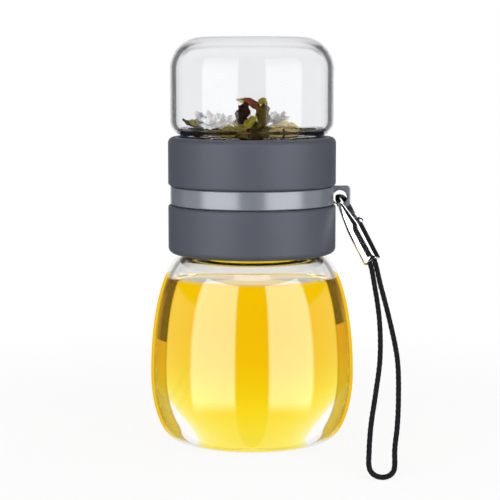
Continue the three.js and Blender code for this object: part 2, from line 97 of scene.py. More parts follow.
# Leaves that are laid one by one: kind, width, roll about the spine, and the spine, in millimetres
TOP_LEAVES = (
    ("brown", 5.2, 10, ((-2, -10, 136.2), (-3.2, -10, 133.4), (-4.7, -10, 130.6), (-5.5, -10, 127))),
    ("brown", 4.6, -30, ((-1.2, -8, 133.3), (-2.4, -8, 131), (-4.4, -8, 128.6), (-6.4, -8, 126))),
    ("red", 3.0, 15, ((-4.8, -9, 137.4), (-1.6, -9, 136.5), (1.2, -9, 134.5), (3.6, -9, 132.2))),
    ("brown", 1.6, 0, ((-3.2, -7, 138), (0, -7, 136.9), (2.4, -7, 134.9), (4.4, -7, 132))),
    ("straw", 1.1, 0, ((-6.3, -10, 137.6), (-4.7, -10, 137.1), (-2.8, -10, 135.6))),
    ("olive", 4.4, -10, ((4.7, -11, 137.2), (5.1, -11, 134.2), (4.7, -11, 130.3), (4, -11, 124))),
    ("lime", 2.6, 20, ((2.4, -12, 136), (4.3, -12, 136.8), (5.9, -12, 135.4))),
    ("olive", 3.6, 35, ((2.0, -8, 134), (3.2, -8, 130), (2.4, -8, 125))),
    ("lime", 3.4, 10, ((-5.5, -14, 124.2), (-2.4, -14, 126.9), (0, -14, 129.2), (2, -14, 130.8))),
    ("lime", 3.0, -25, ((-12.2, -14, 124), (-10.2, -14, 126), (-7.9, -14, 126.1), (-5.1, -14, 124.2))),
    ("lime", 1.9, 0, ((-7.1, -12, 129.1), (-6.3, -12, 127.6), (-4.3, -12, 126.8), (-2, -12, 127.9))),
    ("olive", 4.6, 30, ((-1.6, -13, 124), (1.2, -13, 126.6), (3.9, -13, 127.8))),
    ("olive", 4.0, -20, ((1.2, -14, 123.6), (3.9, -14, 125.1), (6.7, -14, 124.4))),
    ("straw", 2.0, 25, ((6.3, -10, 126.4), (11.1, -10, 127.3), (15.8, -10, 127.4), (18.6, -10, 125.6))),
    ("straw", 2.2, -20, ((6.7, -13, 125.2), (12.6, -13, 126.2), (18.5, -13, 124.4))),
    ("straw", 1.8, 10, ((6.3, -14, 124.1), (11.8, -14, 125), (17.7, -14, 123.7))),
    ("lime", 1.6, 0, ((8, -6, 127), (12.3, -6, 127.9), (16.7, -6, 126.2))),
    ("straw", 0.7, 0, ((7, -15, 125.8), (12, -15, 124.6), (17, -14, 125.6))),
)
SHELF_LEAVES = (
    ("brown", 1.7, 0, ((-27.5, -6, 129.7), (-24.7, -6, 127.7), (-21.9, -6, 125.9))),
    ("lime", 2.2, 15, ((-24.6, -8, 129), (-23.2, -8, 128.1), (-22.2, -8, 126.7))),
    ("brown", 2.0, 40, ((-26.8, -4, 128.6), (-24.6, -4, 126.9), (-22.6, -4, 125.9))),
)

# Blossoms in the heap: heart, reach of a petal, petals, and lean in degrees
BLOSSOMS = (
    ((-14, -8, 126), 7.2, 6, -8), ((-18.4, -4, 126.6), 6.2, 5, -25), ((-9.8, -5, 126.4), 6.4, 5, 10),
    ((9.6, -5, 128), 6.6, 6, 15), ((4, 12, 125), 6.5, 6, 0), ((-12, 10, 124), 6, 5, 20),
)


def length(name, default, description):
    """A length, whose default is given in millimetres."""
    return FloatProperty(name=name, description=description, default=default * MM, unit="LENGTH",
                         subtype="DISTANCE", min=0, precision=5)


def number(name, default, description, **limits):
    return FloatProperty(name=name, description=description, default=default, **limits)


def whole(name, default, description, least):
    return IntProperty(name=name, description=description, default=default, min=least)


def colour(name, default, description):
    return FloatVectorProperty(name=name, description=description, default=default, size=3, min=0, max=1,
                               subtype="COLOR")


def group(kind, name, description):
    return PointerProperty(type=kind, name=name, description=description)


class GlassSizes(bpy.types.PropertyGroup):
    belly_height: length("Belly height", 26.6, "Level of the widest ring of the bottle")
    foot_inset: length("Foot inset", 10.6, "How far the foot stands inside the belly")
    dome_height: length("Dome height", 49, "Height of the shoulder ellipse")
    dome_undercut: length("Dome undercut", 1.8, "How far the shoulder ellipse runs in under the neck")
    wall: length("Wall", 2.2, "Thickness of the glass")
    floor: length("Floor", 3.4, "Thickness of the bottom of the bottle")
    roof: length("Roof", 2.6, "Thickness of the top of the tea chamber")
    foot_recess: length("Foot recess", 0.8, "Depth of the hollow under the foot")
    neck_radius: length("Neck radius", 28.2, "Outer radius of both necks")
    chamber_top_round: length("Top round", 12.8, "Radius of the top edge of the tea chamber")
    chamber_heel_round: length("Heel round", 6, "Radius of the lower edge of the tea chamber")
    thread_height: length("Thread height", 0.9, "How far the screw ridge stands out of the neck")
    thread_lead: length("Thread lead", 4, "Rise of the screw ridge in one turn")
    # Painted shade: these edge colours darken the glass where it is seen edge on, standing for dark
    # surroundings.
    chamber_edge: colour("Chamber edge", (0.045, 0.045, 0.05), "Tint of the chamber's glass seen edge on")
    edge: colour("Edge grey", (0.10, 0.105, 0.115), "Tint of the bottle's glass seen edge on")


class TeaLook(bpy.types.PropertyGroup):
    level: length("Tea level", 65.7, "Height of the surface of the tea")
    gap: length("Gap", 0.04, "Room between the tea and the wetted wall")
    bowl_radius: length("Bowl radius", 39, "Radius of the coloured tea at the top of its bowl")
    bowl_height: length("Bowl height", 36, "Level where the coloured tea reaches the wall")
    bowl_foot: length("Bowl foot", 12, "Radius of the coloured tea at the floor of the bottle")
    absorbed: colour("Tea colour", (0.996, 0.927, 0.03), "Colour that the tea lets through")
    density: number("Tea strength", 105, "How strongly the tea takes up light", min=0)
    # Painted shade: olive and amber darken the glass where it is seen edge on beside the tea; the olive foot
    # and slant set where the painted olive reflection ends.
    olive: colour("Olive edge", (0.045, 0.036, 0.002), "Tint of the glass beside the upper tea")
    amber: colour("Amber edge", (0.72, 0.43, 0.01), "Tint of the glass at the sides of the tea")
    rim: colour("Amber rim", (0.95, 0.74, 0.14), "Tint of the outermost line of the glass beside the tea")
    shade_foot: length("Olive foot", 42.4, "Level where the olive shade ends on the left")
    shade_slant: length("Olive slant", 6.8, "How much higher the olive shade ends on the right")


class PlasticLook(bpy.types.PropertyGroup):
    slate: colour("Collar slate", (0.070, 0.076, 0.096), "Colour of the two collars")
    ring: colour("Ring grey", (0.180, 0.195, 0.230), "Colour of the carry ring")
    core: colour("Core grey", (0.060, 0.064, 0.075), "Colour of the double socket and the filter frame")
    seal: colour("Seal", (0.62, 0.62, 0.58), "Colour of the soft seals")
    end_round: length("Collar end round", 2.4, "Edge of a collar at its glass")
    ring_round: length("Collar ring round", 1, "Edge of a collar at the carry ring")
    lip: length("Collar lip", 1.2, "Thickness of the inner lip of a collar")


class HookSizes(bpy.types.PropertyGroup):
    sheet: length("Sheet", 0.8, "Thickness of the rolled sheet")
    crimp_start: length("Crimp start", 15.6, "Where the rolled tube starts, along the strap")
    crimp_length: length("Crimp length", 15.8, "Length of the rolled tube")
    crimp_width: length("Crimp width", 6.4, "Width of the rolled tube")
    crimp_room: length("Crimp room", 3.6, "Depth inside the rolled tube")
    crimp_round: length("Crimp round", 1.1, "Corner radius at the back of the rolled tube")
    mouth: length("Mouth", 5.2, "Opening between the tongue and the nose of the hook")
    pivot_level: length("Pivot level", 13.9, "Where the rivet sits, along the strap")
    curl: length("Curl", 1.3, "Radius of the gate's curl around the rivet")
    play: length("Play", 0.3, "Room between moving pieces of the hook")
    chrome: colour("Chrome", (0.80, 0.81, 0.83), "Colour of the plated sheet")


class CordSizes(bpy.types.PropertyGroup):
    radius: length("Cord radius", 1, "Half of the thickness of the cord")
    pitch: length("Braid pitch", 5, "Length in which a strand goes once around the cord")
    strands: whole("Strands", 8, "Strands that run each way around the cord", 3)
    grip: length("Grip", 13, "Length of cord inside the crimp")
    spacing: length("Spacing", 2.4, "Distance between the two ends of the cord in the crimp")
    black: colour("Cord black", (0.006, 0.006, 0.007), "Colour of the braid")


class FilterSizes(bpy.types.PropertyGroup):
    hole_radius: length("Hole radius", 1.1, "Radius of a hole of the filter disc")
    ring_step: length("Hole step", 3.9, "Distance between two rings of holes")
    rings: whole("Rings", 5, "Rings of holes around the middle one", 1)
    steel: colour("Filter steel", (0.55, 0.56, 0.58), "Colour of the filter disc")


class LeafLook(bpy.types.PropertyGroup):
    seed: whole("Seed", 7, "Fixes how the leaves fell", 0)
    brown: colour("Brown leaf", (0.018, 0.006, 0.003), "Colour of the dark leaves")
    olive: colour("Olive leaf", (0.070, 0.055, 0.006), "Colour of the olive leaves")
    lime: colour("Lime leaf", (0.23, 0.19, 0.02), "Colour of the yellow-green leaves")
    straw: colour("Straw", (0.42, 0.34, 0.13), "Colour of the dry stems")
    red: colour("Red leaf", (0.20, 0.055, 0.025), "Colour of the red-brown leaf")
    petal: colour("Petal", (0.80, 0.79, 0.80), "Colour of the flower petals")


class StageLook(bpy.types.PropertyGroup):
    lens: number("Lens", 119.52, "Focal length of the camera in millimetres", min=1)
    distance: length("Distance", 668.6, "Distance of the camera in front of the bottle's axis")
    height: length("Camera height", 155, "Height of the camera over the table")
    tilt: number("Tilt", math.radians(6.7), "How far the camera looks down", subtype="ANGLE", unit="ROTATION")
    axis_offset: number("Axis offset", 2, "Pixels that the axis stands right of the middle")
    softbox: number("Softbox", 6.6, "Brightness of the softboxes in reflections", min=0)
    ambient: number("Ambient", 0.30, "Brightness of the room on plain surfaces", min=0)
    key: number("Key", 4.2, "Power of each front lamp in watts", min=0)


class TeaBottleSettings(bpy.types.PropertyGroup):
    glass: group(GlassSizes, "Glass", "The two glasses")
    tea: group(TeaLook, "Tea", "The tea in the bottle")
    plastic: group(PlasticLook, "Plastic", "Collars, ring, core and seals")
    hook: group(HookSizes, "Hook", "The rolled sheet hook")
    cord: group(CordSizes, "Cord", "The braided cord loop")
    filter: group(FilterSizes, "Filter", "The filter disc")
    leaves: group(LeafLook, "Leaves", "The leaves in the tea chamber")
    stage: group(StageLook, "Stage", "Camera, lamps and table")


class Wire:
    """A node's output that takes part in plain Python sums."""

    def __init__(self, board, node, output=0):
        self.board = board
        self.node = node
        self.socket = node.outputs[output] if len(node.outputs) else None

    def out(self, output):
        return Wire(self.board, self.node, output)

    def maths(self, operation, *others):
        return self.board.maths(operation, self, *others)

    def __add__(self, other):
        return self.maths("ADD", other)

    __radd__ = __add__

    def __mul__(self, other):
        return self.maths("MULTIPLY", other)

    __rmul__ = __mul__

    def __sub__(self, other):
        return self.maths("SUBTRACT", other)

    def __rsub__(self, other):
        return self.board.maths("SUBTRACT", other, self)

    def __truediv__(self, other):
        return self.maths("DIVIDE", other)

    def __abs__(self):
        return self.maths("ABSOLUTE")


class Board:
    """A node tree that is filled one node at a time."""

    def __init__(self, tree):
        self.tree = tree
        tree.nodes.clear()

    def node(self, kind, settings=None, inputs=None, output=0):
        made = self.tree.nodes.new(kind)
        for name, value in (settings or {}).items():
            if name == "stops":
                ramp = made.color_ramp
                while len(ramp.elements) < len(value):
                    ramp.elements.new(1)
                for element, (place, tint) in zip(ramp.elements, value):
                    element.position = place
                    element.color = (*tint, 1)
            else:
                setattr(made, name, value)
        for name, value in (inputs or {}).items():
            if isinstance(value, Wire):
                self.tree.links.new(value.socket, made.inputs[name])
            else:
                made.inputs[name].default_value = value
        return Wire(self, made, output)

    def maths(self, operation, *values):
        return self.node("ShaderNodeMath", {"operation": operation}, dict(enumerate(values)))

    def vector_maths(self, operation, inputs, output=0):
        return self.node("ShaderNodeVectorMath", {"operation": operation}, inputs, output)

    def step(self, value, low, high):
        """Zero below low, one above high, with a soft rise between."""
        return self.node("ShaderNodeMapRange", {"interpolation_type": "SMOOTHSTEP"},
                         {"Value": value, "From Min": low, "From Max": high})

    def band(self, value, rise, fall):
        """One between a soft rise and a soft fall, zero outside."""
        return self.step(value, *rise) * (1 - self.step(value, *fall))

    def mix(self, factor, first, second):
        def four(tint):
            return tint if isinstance(tint, Wire) else (*tint, 1)
        return self.node("ShaderNodeMix", {"data_type": "RGBA"},
                         {0: factor, 6: four(first), 7: four(second)}, 2)

    def ramp(self, factor, *stops):
        return self.node("ShaderNodeValToRGB", {"stops": stops}, {"Fac": factor})

    def split(self, vector):
        return self.node("ShaderNodeSeparateXYZ", inputs={"Vector": vector})

    def place(self):
        return self.node("ShaderNodeTexCoord", output="Object")

    def height(self):
        return self.split(self.place()).out("Z")

    def facing(self):
        """Zero where a face looks at the eye, one where it is seen edge on."""
        return self.node("ShaderNodeLayerWeight", inputs={"Blend": 0.5}, output="Facing")

    def attribute(self, name):
        return self.node("ShaderNodeAttribute", {"attribute_name": name}, output="Fac")

    def rays(self):
        """Whether a ray goes straight to the eye, and whether it is a mirrored one."""
        path = self.node("ShaderNodeLightPath")
        seen = path.out("Is Camera Ray").maths("MAXIMUM", path.out("Is Transmission Ray"))
        return seen, path.out("Is Glossy Ray")

    def stretched(self, scale):
        return self.node("ShaderNodeMapping", inputs={"Vector": self.place(), "Scale": scale})

    def noise(self, vector, scale, detail=3, roughness=0.5):
        return self.node("ShaderNodeTexNoise", inputs={
            "Vector": vector, "Scale": scale, "Detail": detail, "Roughness": roughness})

    def bump(self, height, strength, distance):
        return self.node("ShaderNodeBump", inputs={
            "Height": height, "Strength": strength, "Distance": distance})

    def principled(self, **sockets):
        return self.node("ShaderNodeBsdfPrincipled", inputs={
            name.replace("_", " "): value for name, value in sockets.items()})

    def see_through(self, tint=WHITE):
        return self.node("ShaderNodeBsdfTransparent", inputs={"Color": (*tint, 1)})

    def blend(self, factor, first, second):
        return self.node("ShaderNodeMixShader", inputs={0: factor, 1: first, 2: second})


class Finish(Board):
    """A material, as the board that its nodes are laid on."""

    def __init__(self, name):
        self.material = bpy.data.materials.new(name)
        self.material.use_nodes = True
        super().__init__(self.material.node_tree)

    def done(self, surface, volume=None):
        sockets = {"Surface": surface}
        if volume is not None:
            sockets["Volume"] = volume
        self.node("ShaderNodeOutputMaterial", inputs=sockets)
        return self.material


def toned(tint, factor, lift=0):
    """A darker or lighter tone of a colour."""
    return tuple(min(1, c * factor + lift) for c in tint)


def glass_outside(settings):
    """Clear glass with painted shade where it is seen edge on: dark olive and amber beside the tea, and thin
    grey lines above it.
    """
    glass, tea = settings.glass, settings.tea
    amber, olive = tuple(tea.amber), tuple(tea.olive)
    look = Finish("bottle_glass_outside")
    facing = look.facing()
    place = look.split(look.place())
    height = place.out("Z")
    taper = facing - (1 - look.step(height, 2 * MM, 10 * MM)) * 0.13
    # Painted shade: grey and near-black lines where the wall above the tea is seen edge on, standing for dark
    # surroundings seen in the glass.
    grey = look.ramp(
        facing, (0.0, WHITE), (0.54, WHITE), (0.62, (0.55, 0.54, 0.55)), (0.66, tuple(glass.edge)),
        (0.71, (0.50, 0.49, 0.50)), (0.77, (0.92, 0.92, 0.92)), (1.0, (0.80, 0.80, 0.80)))
    # Painted reflection: dark olive beside the upper tea stands for dark surroundings reflected in the wall,
    # turning amber at the very edge.
    shade = look.ramp(
        facing, (0.0, WHITE), (0.465, WHITE), (0.485, olive), (0.60, olive), (0.72, (0.30, 0.22, 0.01)),
        (0.80, amber), (1.0, amber))
    # Painted shade: amber that darkens towards the very edge beside the lower tea, narrower near the foot.
    side = look.ramp(
        facing, (0.0, WHITE), (0.465, WHITE), (0.485, (0.50, 0.30, 0.01)), (0.51, amber), (0.78, amber),
        (0.90, (0.55, 0.28, 0.02)), (1.0, (0.50, 0.26, 0.02)))
    deep = look.ramp(
        taper, (0.0, WHITE), (0.465, WHITE), (0.485, (0.38, 0.21, 0.01)), (0.52, (0.60, 0.33, 0.004)),
        (0.80, (0.48, 0.25, 0.004)), (1.0, (0.34, 0.18, 0.02)))
    # The painted olive reflection ends lower on the left than on the right.
    foot = tea.shade_foot + look.step(place.out("X"), -2 * MM, 2 * MM) * tea.shade_slant
    upper = look.step(height - foot, -0.4 * MM, 0.4 * MM)
    wet = 1 - look.step(height, tea.level + 0.6 * MM, tea.level + 1.2 * MM)
    low = 1 - look.step(height, 1.5 * MM, 4 * MM)
    side = look.mix(look.step(height, 20 * MM, 36 * MM), deep, side)
    sides = look.mix(low, look.mix(upper, side, shade), WHITE)
    tint = look.mix(wet, grey, sides)
    smear = look.noise(look.stretched((1, 1, 0.2)), 60)
    clear = look.principled(Base_Color=tint, Roughness=0.004 + smear * 0.012, IOR=BOTTLE_BEND,
                            Transmission_Weight=1.0)
    rim = look.blend(wet * (1 - low), look.see_through((0.93, 0.93, 0.94)), look.see_through(tea.rim))
    return look.done(look.blend(look.step(facing, 0.64, 0.80), clear, rim))


def chamber_outside(glass):
    """The thinner glass of the tea chamber, with a narrow dark line of painted shade where its wall is seen
    edge on.
    """
    edge = tuple(glass.chamber_edge)
    gleam = 0.42
    look = Finish("chamber_glass_outside")
    facing = look.facing()
    height = look.height()
    # Painted shade: grey to near black where the wall is seen edge on.
    wall = look.ramp(
        facing, (0.0, WHITE), (0.50, WHITE), (0.56, (0.84, 0.84, 0.85)), (0.60, (0.62, 0.62, 0.63)),
        (0.63, edge), (0.74, edge), (0.80, (0.45, 0.45, 0.46)), (0.87, (0.62, 0.62, 0.63)),
        (1.0, (0.80, 0.80, 0.80)))
    # Painted shade: the edge of the roof darkens where it is seen edge on.
    roof = look.ramp(
        facing, (0.0, WHITE), (0.80, (0.82, 0.82, 0.83)), (0.90, (0.70, 0.70, 0.71)),
        (0.97, (0.24, 0.24, 0.25)), (1.0, (0.22, 0.22, 0.23)))
    tint = look.mix(look.step(height, 158 * MM, 161 * MM), wall, roof)
    coat = gleam - look.step(height, 148 * MM, 156 * MM) * gleam
    smear = look.noise(look.stretched((1, 1, 0.2)), 60)
    return look.done(look.principled(
        Base_Color=tint, Roughness=0.004 + smear * 0.012, IOR=CHAMBER_BEND, Transmission_Weight=1.0,
        Coat_Weight=coat, Coat_IOR=1.5, Coat_Roughness=0.01))


def glass_inside(name, bend):
    """The dry inner wall of a glass, tinted light grey as painted shade; toward the roof of the chamber light
    goes straight through it.
    """
    look = Finish(name)
    smear = look.noise(look.place(), 90)
    # Painted shade: the wall lets through only 80 to 86 percent, standing for light lost to dark
    # surroundings.
    tint = look.mix(smear, (0.80, 0.805, 0.82), (0.86, 0.865, 0.88))
    clear = look.principled(Base_Color=tint, Roughness=0.004 + smear * 0.01, IOR=bend,
                            Transmission_Weight=1.0)
    thin = look.see_through((0.94, 0.94, 0.95))
    return look.done(look.blend(look.step(look.height(), 154 * MM, 159 * MM), clear, thin))


def glass_wetted():
    """The inner wall below the tea line, where light passes from glass straight into tea."""
    look = Finish("bottle_glass_wetted")
    smear = look.noise(look.place(), 90)
    return look.done(look.principled(Base_Color=(*WHITE, 1), Roughness=smear * 0.004, IOR=WETTED_BEND,
                                     Transmission_Weight=1.0))


def tea_liquid(tea):
    """Tea that colours the light inside it: its top bends light, its sides let it pass to the glass."""
    look = Finish("brewed_tea")
    ripple = look.bump(look.noise(look.place(), 40), 0.02, 0.4 * MM)
    top = look.principled(Base_Color=(*WHITE, 1), Roughness=0.0, IOR=TEA_BEND, Transmission_Weight=1.0,
                          Normal=ripple)
    surface = look.blend(look.attribute("open_top"), look.see_through(), top)
    volume = look.node("ShaderNodeVolumeAbsorption", inputs={
        "Color": (*tea.absorbed, 1), "Density": tea.density})
    return look.done(surface, volume)


def moulded(name, tint, roughness, grain, spread=0.10, shine=0.5):
    """Moulded plastic: a fine spark-eroded grain, slow colour drift and handling marks."""
    look = Finish(name)
    place = look.place()
    drift = look.noise(place, 45, 4)
    speck = look.noise(place, 2600, 2)
    rub = look.noise(look.stretched((1, 1, 3)), 130, 5, 0.65)
    base = look.mix(drift, toned(tint, 1 - spread), toned(tint, 1 + spread))
    base = look.mix(look.step(speck, 0.52, 0.75) * 0.25, base, toned(tint, 1.35))
    height = speck * 0.7 + look.noise(place, 900, 2) * 0.3
    return look.done(look.principled(
        Base_Color=base, Roughness=roughness - 0.06 + rub * 0.12, Normal=look.bump(height, grain, 0.12 * MM),
        Specular_IOR_Level=shine))


def soft_seal(tint):
    """Milky silicone with a faint cloud and a dull skin."""
    look = Finish("seal_silicone")
    cloud = look.noise(look.place(), 120, 4)
    base = look.mix(cloud, toned(tint, 0.9), toned(tint, 1.08))
    normal = look.bump(look.noise(look.place(), 1500, 2), 0.12, 0.1 * MM)
    return look.done(look.principled(
        Base_Color=base, Roughness=0.42 + cloud * 0.16, Subsurface_Weight=0.25, Subsurface_Scale=2 * MM,
        Normal=normal))


def plated(name, tint, roughness, scratch, painted_eye_shade=False):
    """Bright metal with hairline scratches and a faint haze; optionally painted nearly black where it passes
    through the eye, as painted shade.
    """
    look = Finish(name)
    place = look.place()
    hair = look.noise(look.stretched((9, 9, 0.6)), 900, 4, 0.7)
    haze = look.noise(place, 160, 4)
    base = look.mix(haze, toned(tint, 0.94), tuple(tint))
    if painted_eye_shade:
        # Painted shade: the sheet near the eye is painted almost black, standing for the shadow and dark
        # reflections inside the ring's eye.
        along = look.vector_maths("DOT_PRODUCT", {0: place, 1: tuple(STRAP_ALONG)}, "Value")
        along = along - STRAP_ORIGIN.dot(STRAP_ALONG)
        eye_shade_band = look.band(along, (0.0, 0.25 * MM), (3.4 * MM, 4.2 * MM))
        base = look.mix(eye_shade_band, base, (0.03, 0.03, 0.033))
    rough = roughness + haze * roughness * 0.8 + look.step(hair, 0.62, 0.8) * 0.06
    return look.done(look.principled(Base_Color=base, Metallic=1.0, Roughness=rough,
                                     Normal=look.bump(hair, scratch, 0.02 * MM)))


def braid_black(tint):
    """Matt black fibre, a little paler where it is worn."""
    look = Finish("braided_black")
    place = look.place()
    fibre = look.noise(place, 5200, 2, 0.6)
    worn = look.noise(place, 240, 3)
    base = look.mix(fibre, toned(tint, 0.5), toned(tint, 2.2))
    base = look.mix(look.step(worn, 0.5, 0.8) * 0.4, base, toned(tint, 3))
    return look.done(look.principled(Base_Color=base, Roughness=0.72 + worn * 0.2, Specular_IOR_Level=0.12,
                                     Normal=look.bump(fibre, 0.35, 0.08 * MM)))


def leaf_look(name, tint, tip, rough, veins):
    """A dried leaf: a pale midrib with side veins on its own UV map, mottled and bleached towards the tip."""
    look = Finish(name)
    blade = look.split(look.node("ShaderNodeUVMap", {"uv_map": "blade"}))
    along = blade.out("X")
    across = abs(blade.out("Y") - 0.5)
    mottle = look.noise(look.place(), 420, 4, 0.6)
    tone = look.attribute("tone")
    rib = 1 - look.step(across, 0.015, 0.05)
    slant = look.node("ShaderNodeCombineXYZ", inputs={0: along - across * 0.7})
    side = look.node("ShaderNodeTexWave", {"wave_type": "BANDS", "bands_direction": "X"}, {
        "Vector": slant, "Scale": 4.5, "Distortion": 0.6, "Detail": 1.0})
    line = look.step(side, 0.86, 0.98) * veins
    patch = look.step(mottle * 0.8 + tone * 0.2, 0.30, 0.70)
    body = look.mix(patch, toned(tint, 0.38), toned(tint, 1.55))
    body = look.mix(look.step(along, 0.55, 1.0) * 0.6, body, tip)
    body = look.mix(rib * 0.5 + line * 0.35, body, toned(tint, 2.0, 0.03))
    normal = look.bump(mottle - rib * 0.6 - line * 0.4, 0.5, 0.3 * MM)
    return look.done(look.principled(
        Base_Color=body, Roughness=rough, Normal=normal, Specular_IOR_Level=0.0, Subsurface_Weight=0.12,
        Subsurface_Scale=1 * MM))


def table_white():
    """A pale table: white to the eye with a soft shadow, and open to mirror reflections."""
    look = Finish("table_white")
    seen, mirror = look.rays()
    tint = look.mix(look.noise(look.place(), 14), (0.90, 0.90, 0.90), (0.94, 0.94, 0.94))
    matt = look.node("ShaderNodeBsdfDiffuse", inputs={"Color": tint})
    glow = look.node("ShaderNodeEmission", inputs={"Color": (*WHITE, 1), "Strength": 1.0})
    away = look.vector_maths("LENGTH", {0: look.place()}, "Value")
    bright = seen * (0.88 + look.step(away, 0.09, 0.30) * 0.12)
    return look.done(look.blend(mirror * (1 - seen), look.blend(bright, matt, glow), look.see_through()))


def linked(name, data, *materials):
    piece = bpy.data.objects.new(name, data)
    bpy.context.scene.collection.objects.link(piece)
    for material in materials:
        data.materials.append(material)
    return piece


def shape(name, points, faces, *materials):
    mesh = bpy.data.meshes.new(name)
    mesh.from_pydata([tuple(p) for p in points], [], faces)
    return linked(name, mesh, *materials)


def settled(piece):
    """Turns a piece's modifiers into its plain mesh."""
    bpy.context.view_layer.update()
    shown = piece.evaluated_get(bpy.context.evaluated_depsgraph_get())
    mesh = bpy.data.meshes.new_from_object(shown)
    old = piece.data
    piece.modifiers.clear()
    if piece.type == "MESH":
        piece.data = mesh
        mesh.name = piece.name
        if old.users == 0:
            bpy.data.meshes.remove(old)
        return piece
    name = piece.name
    bpy.data.objects.remove(piece)
    return linked(name, mesh)


def rounded(piece):
    piece.data.polygons.foreach_set("use_smooth", [True] * len(piece.data.polygons))
    return piece


def smoothed(piece, degrees=35):
    """Shades a piece smooth, with an edge where its faces turn by more than some degrees."""
    rounded(piece).data.set_sharp_from_angle(angle=math.radians(degrees))
    return piece


def thickened(piece, thickness, offset, even=False):
    wall = piece.modifiers.new("wall", "SOLIDIFY")
    wall.thickness = thickness
    wall.offset = offset
    wall.use_even_offset = even
    return piece


def bevelled(piece, width, segments, degrees):
    soft = piece.modifiers.new("edges", "BEVEL")
    soft.width = width
    soft.segments = segments
    soft.limit_method = "ANGLE"
    soft.angle_limit = math.radians(degrees)
    return piece


def outward(piece):
    """Turns a closed mesh's faces outwards."""
    form = bmesh.new()
    form.from_mesh(piece.data)
    bmesh.ops.remove_doubles(form, verts=form.verts, dist=TINY)
    bmesh.ops.recalc_face_normals(form, faces=form.faces)
    form.to_mesh(piece.data)
    form.free()
    return piece


def cut_with(piece, other, operation):
    modifier = piece.modifiers.new(operation.lower(), "BOOLEAN")
    modifier.operation = operation
    modifier.solver = "EXACT"
    modifier.object = other
    settled(piece)
    bpy.data.objects.remove(other)
    return piece


def kept(piece, body, nodes=()):
    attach(piece, body)
    if nodes:
        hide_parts(*nodes)
    return piece


def level_of(node):
    low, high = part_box(node)
    return low[2], high[2]


def radius_of(node):
    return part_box(node)[1][0]


def between(one, two, share):
    return tuple(a + (b - a) * share for a, b in zip(one, two))


def arc(centre, radii, first, last, steps):
    """Points from one angle to another, in degrees, of a circle or of an ellipse with two radii."""
    wide, tall = radii if isinstance(radii, tuple) else (radii, radii)
    angles = [math.radians(first + (last - first) * i / steps) for i in range(steps + 1)]
    return [(centre[0] + wide * math.cos(t), centre[1] + tall * math.sin(t)) for t in angles]


def upright(radius, low, high, step):
    count = max(1, round(abs(high - low) / step))
    return [(radius, low + (high - low) * i / count) for i in range(count + 1)]


def slotted(points, slot):
    return [(radius, height, slot) for radius, height in points]


def turned(name, profile, *materials, sides=144, ring=False, swell=None):
    """A lathe piece about Z; its profile runs anticlockwise, and a point (radius, height) may add a slot."""
    profile = [(*point, 0)[:3] for point in profile]
    points, rows = [], []
    for radius, height, _slot in profile:
        if radius < TINY:
            rows.append([len(points)] * sides)
            points.append((0, 0, height))
            continue
        rows.append(list(range(len(points), len(points) + sides)))
        for k in range(sides):
            turn = FULL_TURN * k / sides
            reach = radius + (swell(radius, height, turn) if swell else 0)
            points.append((reach * math.cos(turn), reach * math.sin(turn), height))
    faces, slots = [], []
    count = len(profile)
    for i in range(count if ring else count - 1):
        low, high = rows[i], rows[(i + 1) % count]
        for k in range(sides):
            nxt = (k + 1) % sides
            corners = list(dict.fromkeys((low[k], low[nxt], high[nxt], high[k])))
            if len(corners) > 2:
                faces.append(corners)
                slots.append(profile[i][2])
    piece = shape(name, points, faces, *materials)
    piece.data.polygons.foreach_set("material_index", slots)
    return smoothed(piece)


def screw_ridge(glass, foot, turns):
    """The rounded ridge of a neck's screw, as extra radius at a height and an angle."""
    half_width = 1.15 * MM
    run_out = 0.12

    def swell(radius, height, turn):
        if abs(radius - glass.neck_radius) > 1e-6:
            return 0
        most = 0
        for lap in range(math.ceil(turns) + 1):
            run = lap + turn / FULL_TURN
            off = abs(height - foot - glass.thread_lead * run) / half_width
            if run <= turns and off < 1:
                fade = min(1, run / run_out, (turns - run) / run_out)
                most = max(most, fade * (1 - off * off) ** 0.8)
        return most * glass.thread_height

    return swell


def bottle_sections(glass):
    """Outer and inner outlines of the bottle, from the edge of its foot to the neck."""
    belly = radius_of("bottle_glass")
    level = glass.belly_height
    dome = glass.neck_radius - glass.dome_undercut
    reach = math.degrees(math.acos(glass.dome_undercut / (belly - dome)))
    foot = belly - glass.foot_inset
    outer = arc((foot, level), (glass.foot_inset, level), -90, 0, 36)
    outer += arc((dome, level), (belly - dome, glass.dome_height), 0, reach, 48)[1:]
    inner = arc((foot - glass.wall, level), (glass.foot_inset, level - glass.floor), -90, 0, 36)
    inner += arc((dome - glass.wall, level), (belly - dome, glass.dome_height - glass.wall), 0, reach, 64)[1:]
    return outer, inner


def reach_at(outline, level):
    """Radius of an outline at a level."""
    for (r, z), (far, up) in zip(outline, outline[1:]):
        if z <= level <= up:
            return r + (far - r) * (level - z) / max(up - z, 1e-9)
    return outline[-1][0]


